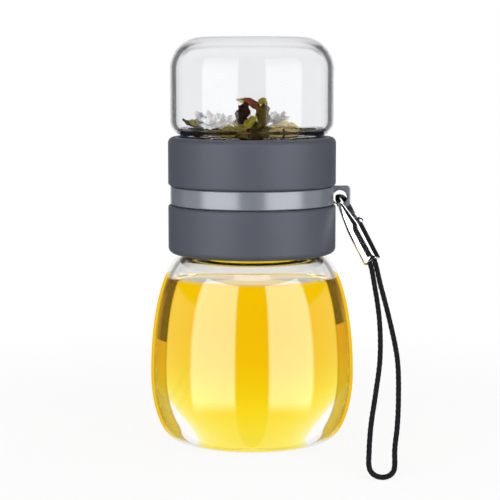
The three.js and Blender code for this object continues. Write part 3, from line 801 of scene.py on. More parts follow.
def clear_bottle(settings):
    """The bottle's glass: hollow foot, belly, shoulder, neck with its screw, and the wall the tea wets."""
    glass = settings.glass
    outer, inner = bottle_sections(glass)
    rim = level_of("bottle_glass")[1]
    neck = glass.neck_radius
    bore = neck - glass.wall
    lip = 0.8 * MM
    shoulder = outer[-1][1]
    hollow = glass.foot_recess
    recess = outer[0][0] - glass.foot_inset
    outside = [(0, hollow + 0.35 * MM), (recess * 0.5, hollow + 0.25 * MM), (recess - 1.5 * MM, hollow * 0.6),
               (recess, 0.0)]
    outside += outer + upright(neck, shoulder + 0.3 * MM, rim - lip, 0.35 * MM)
    outside += arc((neck - lip, rim - lip), lip, 0, 90, 5)[1:]
    profile = slotted(outside, OUTSIDE) + slotted(arc((bore + lip, rim - lip), lip, 90, 180, 5), INSIDE)
    profile += [(r, z, INSIDE if z > settings.tea.level else WETTED) for r, z in inner[::-1]]
    profile += [(0, inner[0][1], WETTED)]
    return turned("bottle_clear_glass", profile, glass_outside(settings),
                  glass_inside("bottle_glass_inside", BOTTLE_BEND), glass_wetted(), sides=160,
                  swell=screw_ridge(glass, shoulder + 6.4 * MM, 2.4))


def clear_chamber(glass):
    """The tea chamber's glass: closed at the top, stepped in at the heel, its neck pointing down."""
    low, top = level_of("tea_chamber_glass")
    broad = radius_of("tea_chamber_glass")
    neck = glass.neck_radius
    bore = neck - glass.wall
    lip, bend = 0.8 * MM, 1.0 * MM
    heel_round, top_round = glass.chamber_heel_round, glass.chamber_top_round
    heel = level_of("upper_collar")[1] + 0.45 * MM
    meet = math.degrees(math.asin((neck - broad + heel_round) / heel_round))
    heel_centre = (broad - heel_round, heel + heel_round)
    top_centre = (broad - top_round, top - top_round)
    inner_round = heel_round - glass.wall
    shelf = heel_centre[1] - inner_round
    inside = [(0, top - glass.roof), (top_centre[0] * 0.5, top - glass.roof)]
    inside += arc(top_centre, (top_round - glass.wall, top_round - glass.roof), 90, 0, 22)
    inside += arc(heel_centre, inner_round, 0, -90, 12)
    inside += arc((bore + bend, shelf - bend), bend, 90, 180, 6)
    inside += arc((bore + lip, low + lip), lip, 180, 270, 5)
    step = arc(heel_centre, heel_round, -90 + meet, 0, 14)
    outside = arc((neck - lip, low + lip), lip, 270, 360, 5)
    outside += upright(neck, low + lip, step[0][1] - 0.3 * MM, 0.35 * MM)[1:]
    outside += step + upright(broad, step[-1][1], top_centre[1], 4 * MM)[1:-1]
    outside += arc(top_centre, top_round, 0, 90, 22) + [(top_centre[0] * 0.5, top), (0, top)]
    return turned("tea_chamber_clear_glass", slotted(inside, INSIDE) + slotted(outside, OUTSIDE),
                  chamber_outside(glass), glass_inside("chamber_glass_inside", CHAMBER_BEND), sides=160,
                  swell=screw_ridge(glass, low + 2.2 * MM, 2.6))


def tea_body(settings):
    """The coloured tea: a bowl in the bottle's foot, the wetted wall and a surface with a curved edge."""
    tea = settings.tea
    _outer, inner = bottle_sections(settings.glass)
    low = inner[0][1]
    foot, brim = (tea.bowl_foot, low), (tea.bowl_radius, tea.bowl_height)
    bowl = [between(foot, brim, i / 40) for i in range(41)]
    wall = [(min(r, reach_at(inner, z)), z) for r, z in bowl]
    wall += [(r, z) for r, z in inner if bowl[-1][1] < z <= tea.level + 1e-6]
    wetted = []
    for k, (r, z) in enumerate(wall):
        before, after = wall[max(0, k - 1)], wall[min(len(wall) - 1, k + 1)]
        run = Vector((after[0] - before[0], after[1] - before[1])).normalized()
        wetted.append((r - run.y * tea.gap, z + run.x * tea.gap))
    wetted[0] = (tea.bowl_foot, low + tea.gap)
    edge = wetted[-1][0]
    profile = [(0, low + tea.gap)] + wetted
    for reach, rise in ((0.5, 0.52), (1.1, 0.30), (1.9, 0.12), (2.9, 0.03), (4.2, 0.0)):
        profile.append((edge - reach * MM, tea.level + rise * MM))
    profile += [(edge * share, tea.level) for share in (0.6, 0.3, 0)]
    fill = turned("tea_fill", profile, tea_liquid(tea), sides=160)
    mask = fill.data.attributes.new("open_top", "FLOAT", "FACE")
    mask.data.foreach_set("value", [
        float(face.normal.z > 0.3 and face.center.z > tea.level - 0.1 * MM) for face in fill.data.polygons])
    return fill


def camera_and_studio(stage):
    """The camera at the photographed angle, three soft lamps, and a room that only reflections see."""
    lens = bpy.data.cameras.new("photo_camera")
    lens.lens = stage.lens
    lens.sensor_width = SENSOR_WIDTH
    lens.shift_x = -stage.axis_offset / PHOTO_SIDE
    lens.clip_start = 0.01
    lens.clip_end = 50
    camera = linked("photo_camera", lens)
    camera.location = (0, -stage.distance, stage.height)
    camera.rotation_euler = (math.pi / 2 - stage.tilt, 0, 0)
    scene = bpy.context.scene
    scene.camera = camera
    scene.view_settings.view_transform = "Standard"

    target = Vector((0, 0, 0.08))
    for name, place, size, power in (
            ("left_lamp", (-0.62, -0.78, 0.42), (0.7, 0.9), stage.key),
            ("right_lamp", (0.62, -0.78, 0.42), (0.7, 0.9), stage.key),
            ("top_lamp", (0, -0.1, 1.0), (0.9, 0.9), stage.key * 0.8)):
        light = bpy.data.lights.new(name, "AREA")
        light.shape = "RECTANGLE"
        light.size, light.size_y = size
        light.energy = power
        lamp = linked(name, light)
        lamp.location = place
        lamp.rotation_euler = (target - Vector(place)).to_track_quat("-Z", "Y").to_euler()
        lamp.visible_glossy = False
        lamp.visible_transmission = False
        lamp.visible_camera = False

    scene.world = bpy.data.worlds.new("studio")
    scene.world.use_nodes = True
    board = Board(scene.world.node_tree)
    way = board.split(board.node("ShaderNodeTexCoord", output="Generated"))
    turn = abs(way.out("X")).maths("ARCTAN2", way.out("Y") * -1)
    rise = way.out("Z")
    gap = 1 - board.step(turn, 0.30, 0.37)
    wall = 1 - board.step(rise, 0.22, 0.28)
    flag = board.band(turn, (1.92, 2.02), (2.70, 2.82))
    room = 0.02 + wall * (0.90 - gap * 0.86 - flag * 0.80)
    box = (1 - gap) * (1 - board.step(turn, 1.22, 1.32))
    box = box * board.step(rise, -0.50, -0.30) * (1 - board.step(rise, 0.60, 0.615))
    panel = board.band(rise, (0.695, 0.71), (0.80, 0.83)) * (1 - board.step(turn, 0.50, 0.60))
    gloss = room * (1 - box) * (1 - panel) + (box + panel * 0.5) * stage.softbox
    seen, mirror = board.rays()
    level = seen + (1 - seen) * (mirror * gloss + (1 - mirror) * stage.ambient)
    ground = board.node("ShaderNodeBackground", inputs={"Color": (*WHITE, 1), "Strength": level})
    board.node("ShaderNodeOutputWorld", inputs={"Surface": ground})


def strap_point(back, across, along):
    """A point of the strap's own frame, in metres, as a point of the object."""
    return STRAP_ORIGIN + STRAP_BACK * back + STRAP_ACROSS * across + STRAP_ALONG * along


def cord_centreline(cord, hook):
    """The smooth line down the middle of the cord, through the same points as its solid."""
    end = hook.crimp_start + hook.crimp_length
    middle = crimp_middle(hook)
    half = cord.spacing / 2
    points = [strap_point(middle, -half, end - cord.grip), strap_point(middle, -half, end)]
    points += [Vector(p) * MM for p in CORD_ROUTE]
    points += [strap_point(middle, half, end), strap_point(middle, half, end - cord.grip)]
    points = [points[0] * 2 - points[1]] + points + [points[-1] * 2 - points[-2]]
    steps = 24
    line = []
    for a, b, c, d in zip(points, points[1:], points[2:], points[3:]):
        gaps = [math.sqrt((q - p).length) for p, q in ((a, b), (b, c), (c, d))]
        leave = ((b - a) / gaps[0] - (c - a) / (gaps[0] + gaps[1]) + (c - b) / gaps[1]) * gaps[1]
        enter = ((c - b) / gaps[1] - (d - b) / (gaps[1] + gaps[2]) + (d - c) / gaps[2]) * gaps[1]
        for t in (i / steps for i in range(steps)):
            line.append(b * (2 * t ** 3 - 3 * t ** 2 + 1) + leave * (t ** 3 - 2 * t ** 2 + t)
                        + c * (3 * t ** 2 - 2 * t ** 3) + enter * (t ** 3 - t ** 2))
    line.append(points[-2])
    return line


def geometry_tree(name, **inputs):
    """A Geometry Nodes group with named inputs, and its board and input wires."""
    tree = bpy.data.node_groups.new(name, "GeometryNodeTree")
    tree.interface.new_socket("Geometry", in_out="OUTPUT", socket_type="NodeSocketGeometry")
    for label, kind in inputs.items():
        tree.interface.new_socket(label, in_out="INPUT", socket_type="NodeSocket" + kind)
    board = Board(tree)
    source = board.node("NodeGroupInput")
    return tree, board, [source.out(label) for label in inputs]


def dressed(board, geometry, material):
    """Ends a tree: plain geometry that wears a material."""
    plain = board.node("GeometryNodeRealizeInstances", inputs={"Geometry": geometry})
    worn = board.node("GeometryNodeSetMaterial", inputs={"Geometry": plain, "Material": material})
    board.node("NodeGroupOutput", inputs={"Geometry": worn})


def grown(piece, tree, **values):
    """Runs a Geometry Nodes tree on a piece with the given inputs and keeps its plain mesh."""
    modifier = piece.modifiers.new(tree.name, "NODES")
    modifier.node_group = tree
    names = {item.name: item.identifier for item in tree.interface.items_tree if item.in_out == "INPUT"}
    for label, value in values.items():
        modifier[names[label]] = value
    return settled(piece)


def braid_tree(material):
    """Strands that run both ways around a path, over and under each other, on a plain core."""
    tree, board, (path, radius, pitch, strands) = geometry_tree(
        "cord_braid", Path="Geometry", Radius="Float", Pitch="Float", Strands="Int")

    def resampled(parts):
        return board.node("GeometryNodeResampleCurve", {"mode": "LENGTH"}, {
            "Curve": path, "Length": pitch / parts})

    def tube(curve, sides, share):
        rim = board.node("GeometryNodeCurvePrimitiveCircle", inputs={
            "Resolution": sides, "Radius": radius * share})
        return board.node("GeometryNodeCurveToMesh", inputs={
            "Curve": curve, "Profile Curve": rim, "Fill Caps": True})

    spun = board.node("GeometryNodeDuplicateElements", {"domain": "SPLINE"}, {
        "Geometry": resampled(24), "Amount": strands * 2})
    index = spun.out("Duplicate Index")
    back = (index / strands).maths("FLOOR")
    way = 1 - back * 2
    run = board.node("GeometryNodeSplineParameter", output="Length") / pitch * FULL_TURN
    turn = run * way + index / strands * FULL_TURN + back * (math.pi / 8)
    weave = (run * 4 + index * (math.pi / 2) + back * math.pi).maths("SINE")
    reach = radius * 0.86 + weave * radius * 0.05
    side = board.node("GeometryNodeInputNormal")
    third = board.vector_maths("CROSS_PRODUCT", {0: board.node("GeometryNodeInputTangent"), 1: side})
    first = board.vector_maths("SCALE", {0: side, "Scale": turn.maths("COSINE") * reach})
    second = board.vector_maths("SCALE", {0: third, "Scale": turn.maths("SINE") * reach})
    offset = board.vector_maths("ADD", {0: first, 1: second})
    laid = board.node("GeometryNodeSetPosition", inputs={"Geometry": spun, "Offset": offset})
    joined = board.node("GeometryNodeJoinGeometry", inputs={"Geometry": tube(laid, 4, 0.15)})
    board.tree.links.new(tube(resampled(6), 12, 0.88).socket, joined.node.inputs["Geometry"])
    dressed(board, board.node("GeometryNodeSetShadeSmooth", inputs={"Geometry": joined}), material)
    return tree


def perforated_tree(material):
    """A round plate with rings of holes, six more in each ring."""
    tree, board, (radius, thickness, level, hole, ring_step, rings) = geometry_tree(
        "filter_plate", Radius="Float", Thickness="Float", Level="Float", Hole="Float", Step="Float",
        Rings="Int")

    def disc(sides, reach, depth):
        return board.node("GeometryNodeMeshCylinder", {"fill_type": "NGON"}, {
            "Vertices": sides, "Radius": reach, "Depth": depth})

    index = board.node("GeometryNodeInputIndex")
    ring = (((index * 12 - 3).maths("MAXIMUM", 0).maths("SQRT") + 3) / 6).maths("FLOOR")
    first = ring * (ring - 1) * 3 + 1
    turn = (index - first) / (ring.maths("MAXIMUM", 1) * 6) * FULL_TURN
    reach = ring * ring_step
    place = board.node("ShaderNodeCombineXYZ", inputs={
        "X": turn.maths("COSINE") * reach, "Y": turn.maths("SINE") * reach})
    count = rings * (rings + 1) * 3 + 1
    points = board.node("GeometryNodePoints", inputs={"Count": count, "Position": place})
    punches = board.node("GeometryNodeInstanceOnPoints", inputs={
        "Points": points, "Instance": disc(16, hole, thickness * 4)})
    solid = board.node("GeometryNodeRealizeInstances", inputs={"Geometry": punches})
    cut = board.node("GeometryNodeMeshBoolean", {"operation": "DIFFERENCE", "solver": "EXACT"}, {
        0: disc(96, radius, thickness), 1: solid})
    up = board.node("ShaderNodeCombineXYZ", inputs={"Z": level})
    dressed(board, board.node("GeometryNodeTransform", inputs={"Geometry": cut, "Translation": up}), material)
    return tree


class StrapSheet:
    """A sheet in the strap's own frame, built row by row; depths count from its front."""

    def __init__(self, front=0):
        self.front = front
        self.points = []
        self.faces = []

    def row(self, places):
        first = len(self.points)
        self.points += [strap_point(self.front + depth, across, along) for depth, across, along in places]
        return list(range(first, len(self.points)))

    def span(self, one, two, closed=False):
        count = len(one)
        for k in range(count if closed else count - 1):
            nxt = (k + 1) % count
            self.faces.append((one[k], one[nxt], two[nxt], two[k]))

    def grow(self, last, places):
        now = self.row(places)
        self.span(now, last)
        return now

    def rolled(self, name, material, thickness, offset, even, edge):
        piece = shape(name, self.points, self.faces, material)
        thickened(piece, thickness, offset, even)
        return smoothed(settled(bevelled(piece, edge, 2, 50)), 40)


def hook_front(hook):
    """Depth of the hook's front plane in the strap's own frame."""
    return -hook.mouth / 2 - hook.sheet


def pivot_depth(hook):
    return hook.mouth / 2 - hook.play - hook.curl


def crimp_middle(hook):
    return hook_front(hook) + hook.sheet + hook.crimp_room / 2


def hook_face(hook):
    """Front of the rolled sheet: a bevelled left edge, then a face that bows gently back to the right."""
    left = -hook.crimp_width / 2
    bevel = 1.3 * MM
    bow = 21.7 * MM
    first, last = math.radians(22.7), math.radians(34.7)
    edge = left + 1.64 * MM
    face = [between((bevel, left), (0, edge), i / 4) for i in range(4)]
    for i in range(13):
        lean = first + (last - first) * i / 12
        face.append((bow * (math.cos(first) - math.cos(lean)),
                     edge + bow * (math.sin(lean) - math.sin(first))))
    return face


def rolled_hook(hook, chrome):
    """One rolled sheet: the tube of the crimp, the tapering tongue, the bent hook and two ears."""
    half = hook.crimp_width / 2
    front = hook_front(hook)
    deep = hook.crimp_room + hook.sheet * 2
    turn = hook.crimp_round
    start = hook.crimp_start
    end = start + hook.crimp_length
    tip = 1.2 * MM
    taper = 4.0 * MM
    bight = 3.2 * MM
    crown = 0.8 * MM
    nose = 8.8 * MM
    seam = 1.0 * MM
    pivot = pivot_depth(hook) - front
    ear_top = start - 3.4 * MM + hook.curl
    left_ear = 2.4 * MM

    fore = hook_face(hook)
    rear = [between(fore[-1], (deep - turn, half), i / 6) for i in range(1, 6)]
    rear += arc((deep - turn, half - turn), turn, 90, 0, 8)
    rear += [(deep, seam), (deep, 0), (deep, -seam)]
    rear += arc((deep - turn, -half + turn), turn, 0, -90, 8)
    rear += [(depth * MM, -half) for depth in (3.6, 3.1, 2.5, 1.9)]
    tube = fore + rear

    sheet = StrapSheet(front)
    levels = [start + (end - start) * i / 10 for i in range(11)]
    rings = [sheet.row([(depth, across, along) for depth, across in tube]) for along in levels]
    for one, two in zip(rings, rings[1:]):
        sheet.span(one, two, True)

    last = rings[0][:len(fore)]
    for i in range(1, 13):
        along = start + (taper - start) * i / 12
        slim = (tip + (half - tip) * (along - taper) / (start - taper)) / half
        last = sheet.grow(last, [(depth * slim, across * slim, along) for depth, across in fore])
    slim = tip / half
    for i in range(1, 19):
        lean = min(i, 16) / 16 * math.pi
        along = bight + (front - crown) * math.sin(lean) + max(0, i - 16) / 2 * (nose - bight)
        inward = math.cos(lean)
        dish = slim * max(inward, 0)
        last = sheet.grow(last, [(depth * dish - front * (1 - inward), across * slim,
                                  along + depth * slim * math.sin(lean)) for depth, across in fore])

    right = [k for k in range(len(fore) + 1, len(tube)) if tube[k][1] > half - turn - 1e-9]
    left = [k for k in range(len(fore), len(tube))
            if tube[k][1] < turn - half + 1e-9 and tube[k][0] > left_ear]
    for ear in (right, left):
        last = [rings[0][k] for k in ear]
        for i in range(1, 6):
            places = []
            for depth, across in (tube[k] for k in ear):
                reach = max(-1.0, min(1.0, (depth - pivot) / hook.curl))
                top = ear_top - hook.curl * math.sqrt(1 - reach * reach)
                places.append((depth, across, start + (top - start) * i / 5))
            last = sheet.grow(last, places)
    return sheet.rolled("hook_sheet", chrome, hook.sheet, 1, True, 0.14 * MM)


def hook_gate_leaf(hook, chrome):
    """The leaf that closes the hook: a tapering tongue with its root curled around the rivet."""
    axis, level = pivot_depth(hook), hook.pivot_level
    back = axis + hook.curl
    wide = hook.crimp_width / 2 - hook.sheet - hook.play
    narrow = 1.0 * MM
    tip = 7.8 * MM
    shoulder = tip + 0.8 * MM
    rows = []
    for i in range(5):
        lean = i / 4 * math.pi / 2
        rows.append((back, tip + (shoulder - tip) * (1 - math.cos(lean)),
                     narrow * math.sin(lean) + 0.02 * MM))
    rows += [(back, *between((shoulder, narrow), (level, wide), i / 8)) for i in range(1, 9)]
    for i in range(1, 15):
        lean = math.radians(300) * i / 14
        rows.append((axis + hook.curl * math.cos(lean), level + hook.curl * math.sin(lean), wide))
    leaf = StrapSheet()
    lines = [leaf.row([(depth, reach * (k / 4 - 1), along) for k in range(9)])
             for depth, along, reach in rows]
    for one, two in zip(lines, lines[1:]):
        leaf.span(one, two)
    return leaf.rolled("hook_gate_leaf", chrome, 0.45 * MM, -1, False, 0.1 * MM)


def domed_rivet(hook, steel):
    """A rivet across the ears with a domed head on each side."""
    half = hook.crimp_width / 2 + 0.1 * MM
    head, shank = 1.0 * MM, 0.5 * MM
    side = [(head * math.sin(t), half + 0.05 * MM + 0.45 * MM * math.cos(t))
            for t in (math.pi / 2 * i / 6 for i in range(7))]
    side += [(head, half), (shank, half)]
    profile = side + [(r, -h) for r, h in reversed(side)]
    piece = turned("gate_rivet_pin", profile[::-1], steel, sides=24)
    turn = Matrix((STRAP_BACK, STRAP_ALONG, STRAP_ACROSS)).transposed()
    place = Matrix.Translation(strap_point(pivot_depth(hook), 0, hook.pivot_level)) @ turn.to_4x4()
    piece.data.transform(place)
    return piece


def carry_band(look):
    """The loose ring with its flat lug and the eye for the hook."""
    drop, top = level_of("carry_ring")
    foot = drop + 1.2 * MM
    outer = 32.9 * MM
    soft = 0.5 * MM
    profile = [(SLEEVE_BORE, foot)]
    profile += arc((outer - soft, foot + soft), soft, -90, 0, 5)
    profile += arc((outer - soft, top - soft), soft, 0, 90, 5)
    profile += [(SLEEVE_BORE, top)]
    band = turned("carry_ring_band", profile, look, sides=192, ring=True)

    tip = radius_of("carry_ring")
    root = outer - soft
    step = 34.3 * MM
    corner = 1.6 * MM
    half = 1.1 * MM
    side = [(root, foot), (step, foot), (step, drop)]
    side += arc((tip - corner, drop + corner), corner, -90, 0, 6)
    side += arc((tip - corner, top - corner), corner, 0, 90, 6)
    side += [(root, top)]
    count = len(side)
    points = [(x, y, z) for y in (-half, half) for x, z in side]
    faces = [tuple(range(count)), tuple(range(2 * count - 1, count - 1, -1))]
    faces += [(k, k + count, (k + 1) % count + count, (k + 1) % count) for k in range(count)]
    lug = settled(bevelled(outward(shape("lug", points, faces, look)), 0.55 * MM, 3, 60))

    eye = 2.8 * MM
    flare = 0.4 * MM
    far = 3 * MM
    bit = [(0, -far), (eye + flare * 6, -far), (eye + flare, -half), (eye, -half + flare),
           (eye, half - flare), (eye + flare, half), (eye + flare * 6, far), (0, far)]
    punch = turned("eye", bit, look, sides=48)
    centre = Vector((35.5 * MM, 0, (foot + top) / 2 - 1 * MM))
    punch.data.transform(Matrix.Translation(centre) @ Matrix.Rotation(-math.pi / 2, 4, "X"))
    cut_with(band, lug, "UNION")
    cut_with(band, outward(punch), "DIFFERENCE")
    even = smoothed(band, 30).modifiers.new("even", "WEIGHTED_NORMAL")
    even.keep_sharp = True
    return settled(band)


def collar_sleeve(node, plastic, look, flipped):
    """A collar: a plain sleeve with a soft edge at its glass and a tighter one at the ring."""
    low, high = level_of(node)
    outer = radius_of(node)
    tall = high - low
    near, far = plastic.ring_round, plastic.end_round
    ease, lip_ease = 0.3 * MM, 0.2 * MM
    profile = [(SLEEVE_BORE, ease), (SLEEVE_BORE + ease, 0)]
    profile += arc((outer - near, near), near, -90, 0, 8)
    profile += arc((outer - far, tall - far), far, 0, 90, 14)
    profile += [(SOCKET_BORE + lip_ease, tall), (SOCKET_BORE, tall - lip_ease),
                (SOCKET_BORE, tall - plastic.lip), (SLEEVE_BORE, tall - plastic.lip)]
    if flipped:
        profile = [(r, high - h) for r, h in reversed(profile)]
    else:
        profile = [(r, low + h) for r, h in profile]
    return turned(node + "_sleeve", profile, look, sides=192, ring=True)


def flowing(points, count):
    """A smooth run of places through the given ones."""
    ends = [points[0] * 2 - points[1]] + points + [points[-1] * 2 - points[-2]]
    spans = len(points) - 1
    line = []
    for i in range(count + 1):
        at = min(i / count * spans, spans - 1e-9)
        k = int(at)
        t = at - k
        a, b, c, d = ends[k:k + 4]
        line.append((b * 2 + (c - a) * t + (a * 2 - b * 5 + c * 4 - d) * t ** 2
                     + (b * 3 - a - c * 3 + d) * t ** 3) / 2)
    return line


def chamber_room(level):
    """Radius that is free for leaves at a level of the tea chamber, in millimetres."""
    neck_room, shelf = 25.2, 125.1
    heel_middle, heel_level, heel_round = 26.9, 128.8, 3.6
    if level < shelf:
        return neck_room
    drop = max(0, heel_level - level)
    return heel_middle + math.sqrt(max(0, heel_round ** 2 - drop ** 2))


class LeafBed:
    """A mesh that leaves are added to, one crumpled strip at a time; its sizes are in millimetres."""

    ground = 113.8
    rows, columns = 20, 6

    def __init__(self, seed):
        self.rng = random.Random(seed)
        self.form = bmesh.new()
        self.uv = self.form.loops.layers.uv.new("blade")
        self.tone = self.form.verts.layers.float.new("tone")

    def strip(self, spine, wide, kind, turn=0, twist=40, cup=0.5, ragged=0.16, blunt=0.6):
        """One leaf along a spine: rolled about it, cupped, crumpled and torn along its edges."""
        rng, rows, columns = self.rng, self.rows, self.columns
        line = flowing([Vector(p) for p in spine], rows)
        wave = [rng.uniform(0, 6.28) for _ in range(5)]
        shade = rng.random()
        grid = []
        for i, point in enumerate(line):
            u = i / rows
            ahead = (line[min(i + 1, rows)] - line[max(i - 1, 0)]).normalized()
            flat = ahead.cross(Vector((0, -1, 0.12)))
            if flat.length < 0.25:
                flat = ahead.cross(Vector((0, 0, 1)))
            flat.normalize()
            roll = math.radians(turn + twist * (u - 0.5))
            side = flat * math.cos(roll) + flat.cross(ahead) * math.sin(roll)
            face = side.cross(ahead)
            half = wide / 2 * max(0.07, math.sin(math.pi * (0.04 + 0.92 * u))) ** blunt
            row = []
            for k in range(columns + 1):
                v = 2 * k / columns - 1
                torn = 1
                if k in (0, columns):
                    torn += ragged * (math.sin(19 * u + wave[k % 2]) + rng.uniform(-1, 1))
                lift = (cup * v * v + 0.26 * math.sin(10 * u + wave[2] + 2.2 * v)
                        + 0.16 * math.sin(23 * u + wave[3] - 4 * v))
                place = point + side * (v * half * torn) + face * (lift * half)
                room = chamber_room(place.z)
                out = math.hypot(place.x, place.y)
                if out > room:
                    place.x *= room / out
                    place.y *= room / out
                place.z = max(place.z, self.ground)
                vert = self.form.verts.new(place * MM)
                vert[self.tone] = shade
                row.append((vert, u, (v + 1) / 2))
            grid.append(row)
        for one, two in zip(grid, grid[1:]):
            for k in range(columns):
                corners = (one[k], two[k], two[k + 1], one[k + 1])
                face = self.form.faces.new([c[0] for c in corners])
                face.material_index = LEAF_KINDS.index(kind)
                for loop, (_vert, u, v) in zip(face.loops, corners):
                    loop[self.uv].uv = (u, v)

    def flower(self, heart, reach, petals, lean):
        """A dried blossom: pointed petals that curl away from its heart."""
        rng = self.rng
        heart = Vector(heart)
        for k in range(petals):
            turn = math.radians(lean - 78 + 156 * (k + rng.uniform(-0.2, 0.2)) / (petals - 1))
            way = Vector((math.sin(turn), rng.uniform(-0.7, 0.5), math.cos(turn))).normalized()
            bend = Vector((rng.uniform(-0.5, 0.5), rng.uniform(-0.5, 0.5), rng.uniform(-0.2, 0.35)))
            far = reach * rng.uniform(0.75, 1.15)
            spine = [heart, heart + way * far * 0.4, heart + way * far * 0.75 + bend * far * 0.15,
                     heart + way * far + bend * far * 0.4]
            self.strip(spine, rng.uniform(2.2, 3.4), "petal", rng.uniform(-50, 50), twist=60, cup=0.7,
                       ragged=0.22, blunt=0.75)

    def laid(self, name, looks):
        mesh = bpy.data.meshes.new(name)
        self.form.to_mesh(mesh)
        self.form.free()
        return rounded(settled(thickened(linked(name, mesh, *looks), 0.2 * MM, 0)))


def leaf_heap(leaves, looks):
    """The leaves and blossoms that lie on the filter, as one mesh."""
    bed = LeafBed(leaves.seed)
    rng = bed.rng
    for kind, wide, turn, spine in TOP_LEAVES:
        bed.strip(spine, wide, kind, turn)
    for blossom in BLOSSOMS:
        bed.flower(*blossom)
    count, spread = 170, 23.5
    floor, depth, dome = 114.6, 10.6, 60
    for k in range(count):
        turn = k * GOLDEN_ANGLE
        out = spread * math.sqrt((k + 0.5) / count)
        high = floor + depth * (1 - (out / dome) ** 2) * math.sqrt(rng.random())
        middle = Vector((out * math.cos(turn), out * math.sin(turn), high))
        swing = rng.uniform(0, FULL_TURN)
        way = Vector((math.cos(swing), math.sin(swing), rng.uniform(-0.3, 0.3)))
        half = rng.uniform(3.5, 7)
        bow = Vector((rng.uniform(-1, 1), rng.uniform(-1, 1), rng.uniform(-0.4, 1))) * 1.6
        spine = [middle - way * half, middle + bow, middle + way * half]
        bed.strip(spine, rng.uniform(1.2, 4.2), rng.choice(HEAP_KINDS), rng.uniform(40, 140),
                  rng.uniform(-90, 90))
    return bed.laid("tea_leaves", looks)


def shelf_leaves(leaves, looks):
    """The few leaves that lie on the shoulder of the tea chamber's own glass."""
    bed = LeafBed(leaves.seed + 1)
    for kind, wide, turn, spine in SHELF_LEAVES:
        bed.strip(spine, wide, kind, turn)
    return bed.laid("shelf_leaves", looks)


class MakeStage(bpy.types.Operator):
    """Sets up the camera at the photographed angle, the lamps, the room and the table"""

    bl_idname = "tea_bottle.stage"
    bl_label = "Stage"

    def execute(self, context):
        camera_and_studio(context.scene.tea_bottle.stage)
        side = 3.0
        corners = [(-side, -side, 0), (side, -side, 0), (side, side, 0), (-side, side, 0)]
        table = shape("table", corners, [(0, 1, 2, 3)], table_white())
        return {"FINISHED"}


class MakeHook(bpy.types.Operator):
    """Makes the rolled sheet hook with its gate and rivet, and the braided cord loop that it grips"""

    bl_idname = "tea_bottle.strap"
    bl_label = "Hook and cord"

    def execute(self, context):
        settings = context.scene.tea_bottle
        hook, cord = settings.hook, settings.cord
        # The hook's chrome is painted nearly black near the eye as painted shade.
        chrome = plated("hook_chrome", hook.chrome, roughness=0.035, scratch=0.05, painted_eye_shade=True)
        steel = plated("rivet_steel", (0.62, 0.63, 0.65), roughness=0.16, scratch=0.1)
        sheet = kept(rolled_hook(hook, chrome), "strap", ["hook_body"])
        gate = kept(hook_gate_leaf(hook, chrome), "gate", ["hook_gate"])
        rivet = kept(domed_rivet(hook, steel), "strap", ["gate_rivet"])

        line = cord_centreline(cord, hook)
        curve = bpy.data.curves.new("cord_path", "CURVE")
        curve.dimensions = "3D"
        spline = curve.splines.new("POLY")
        spline.points.add(len(line) - 1)
        spline.points.foreach_set("co", [c for p in line for c in (*p, 1)])
        braid = grown(linked("cord_path", curve), braid_tree(braid_black(cord.black)),
                      Radius=cord.radius, Pitch=cord.pitch, Strands=cord.strands)
        braid.name = "braided_cord"
        braid.data.name = "braided_cord"
        braid.visible_glossy = False
        kept(braid, "strap", ["lanyard_cord"])
        run = sum((b - a).length for a, b in zip(line, line[1:]))
        leave = strap_point(crimp_middle(hook), -cord.spacing / 2, hook.crimp_start + hook.crimp_length)
        return {"FINISHED"}


class MakeGlass(bpy.types.Operator):
    """Turns the bottle and the tea chamber, each with a screw ridge on its neck"""

    bl_idname = "tea_bottle.glass"
    bl_label = "Glasses"

    def execute(self, context):
        settings = context.scene.tea_bottle
        bottle = kept(clear_bottle(settings), "bottle", ["bottle_glass"])
        chamber = kept(clear_chamber(settings.glass), "chamber", ["tea_chamber_glass"])
        bottle.visible_shadow = chamber.visible_shadow = False
        return {"FINISHED"}


class MakeTea(bpy.types.Operator):
    """Fills the bottle with tea up to its level, with a curved edge where it meets the glass"""

    bl_idname = "tea_bottle.tea"
    bl_label = "Tea"

    def execute(self, context):
        kept(tea_body(context.scene.tea_bottle), "bottle").visible_shadow = False
        return {"FINISHED"}


class MakeCollars(bpy.types.Operator):
    """Makes the two slate collars and the loose carry ring with its lug"""

    bl_idname = "tea_bottle.collars"
    bl_label = "Collars and ring"

    def execute(self, context):
        plastic = context.scene.tea_bottle.plastic
        slate = moulded("collar_slate", plastic.slate, roughness=0.50, grain=0.22, shine=0.2)
        for node, flipped in (("upper_collar", False), ("lower_collar", True)):
            kept(collar_sleeve(node, plastic, slate, flipped), "connector", [node])
        satin = moulded("ring_satin", plastic.ring, roughness=0.24, grain=0.06, spread=0.06, shine=0.62)
        kept(carry_band(satin), "ring", ["carry_ring"])
        return {"FINISHED"}


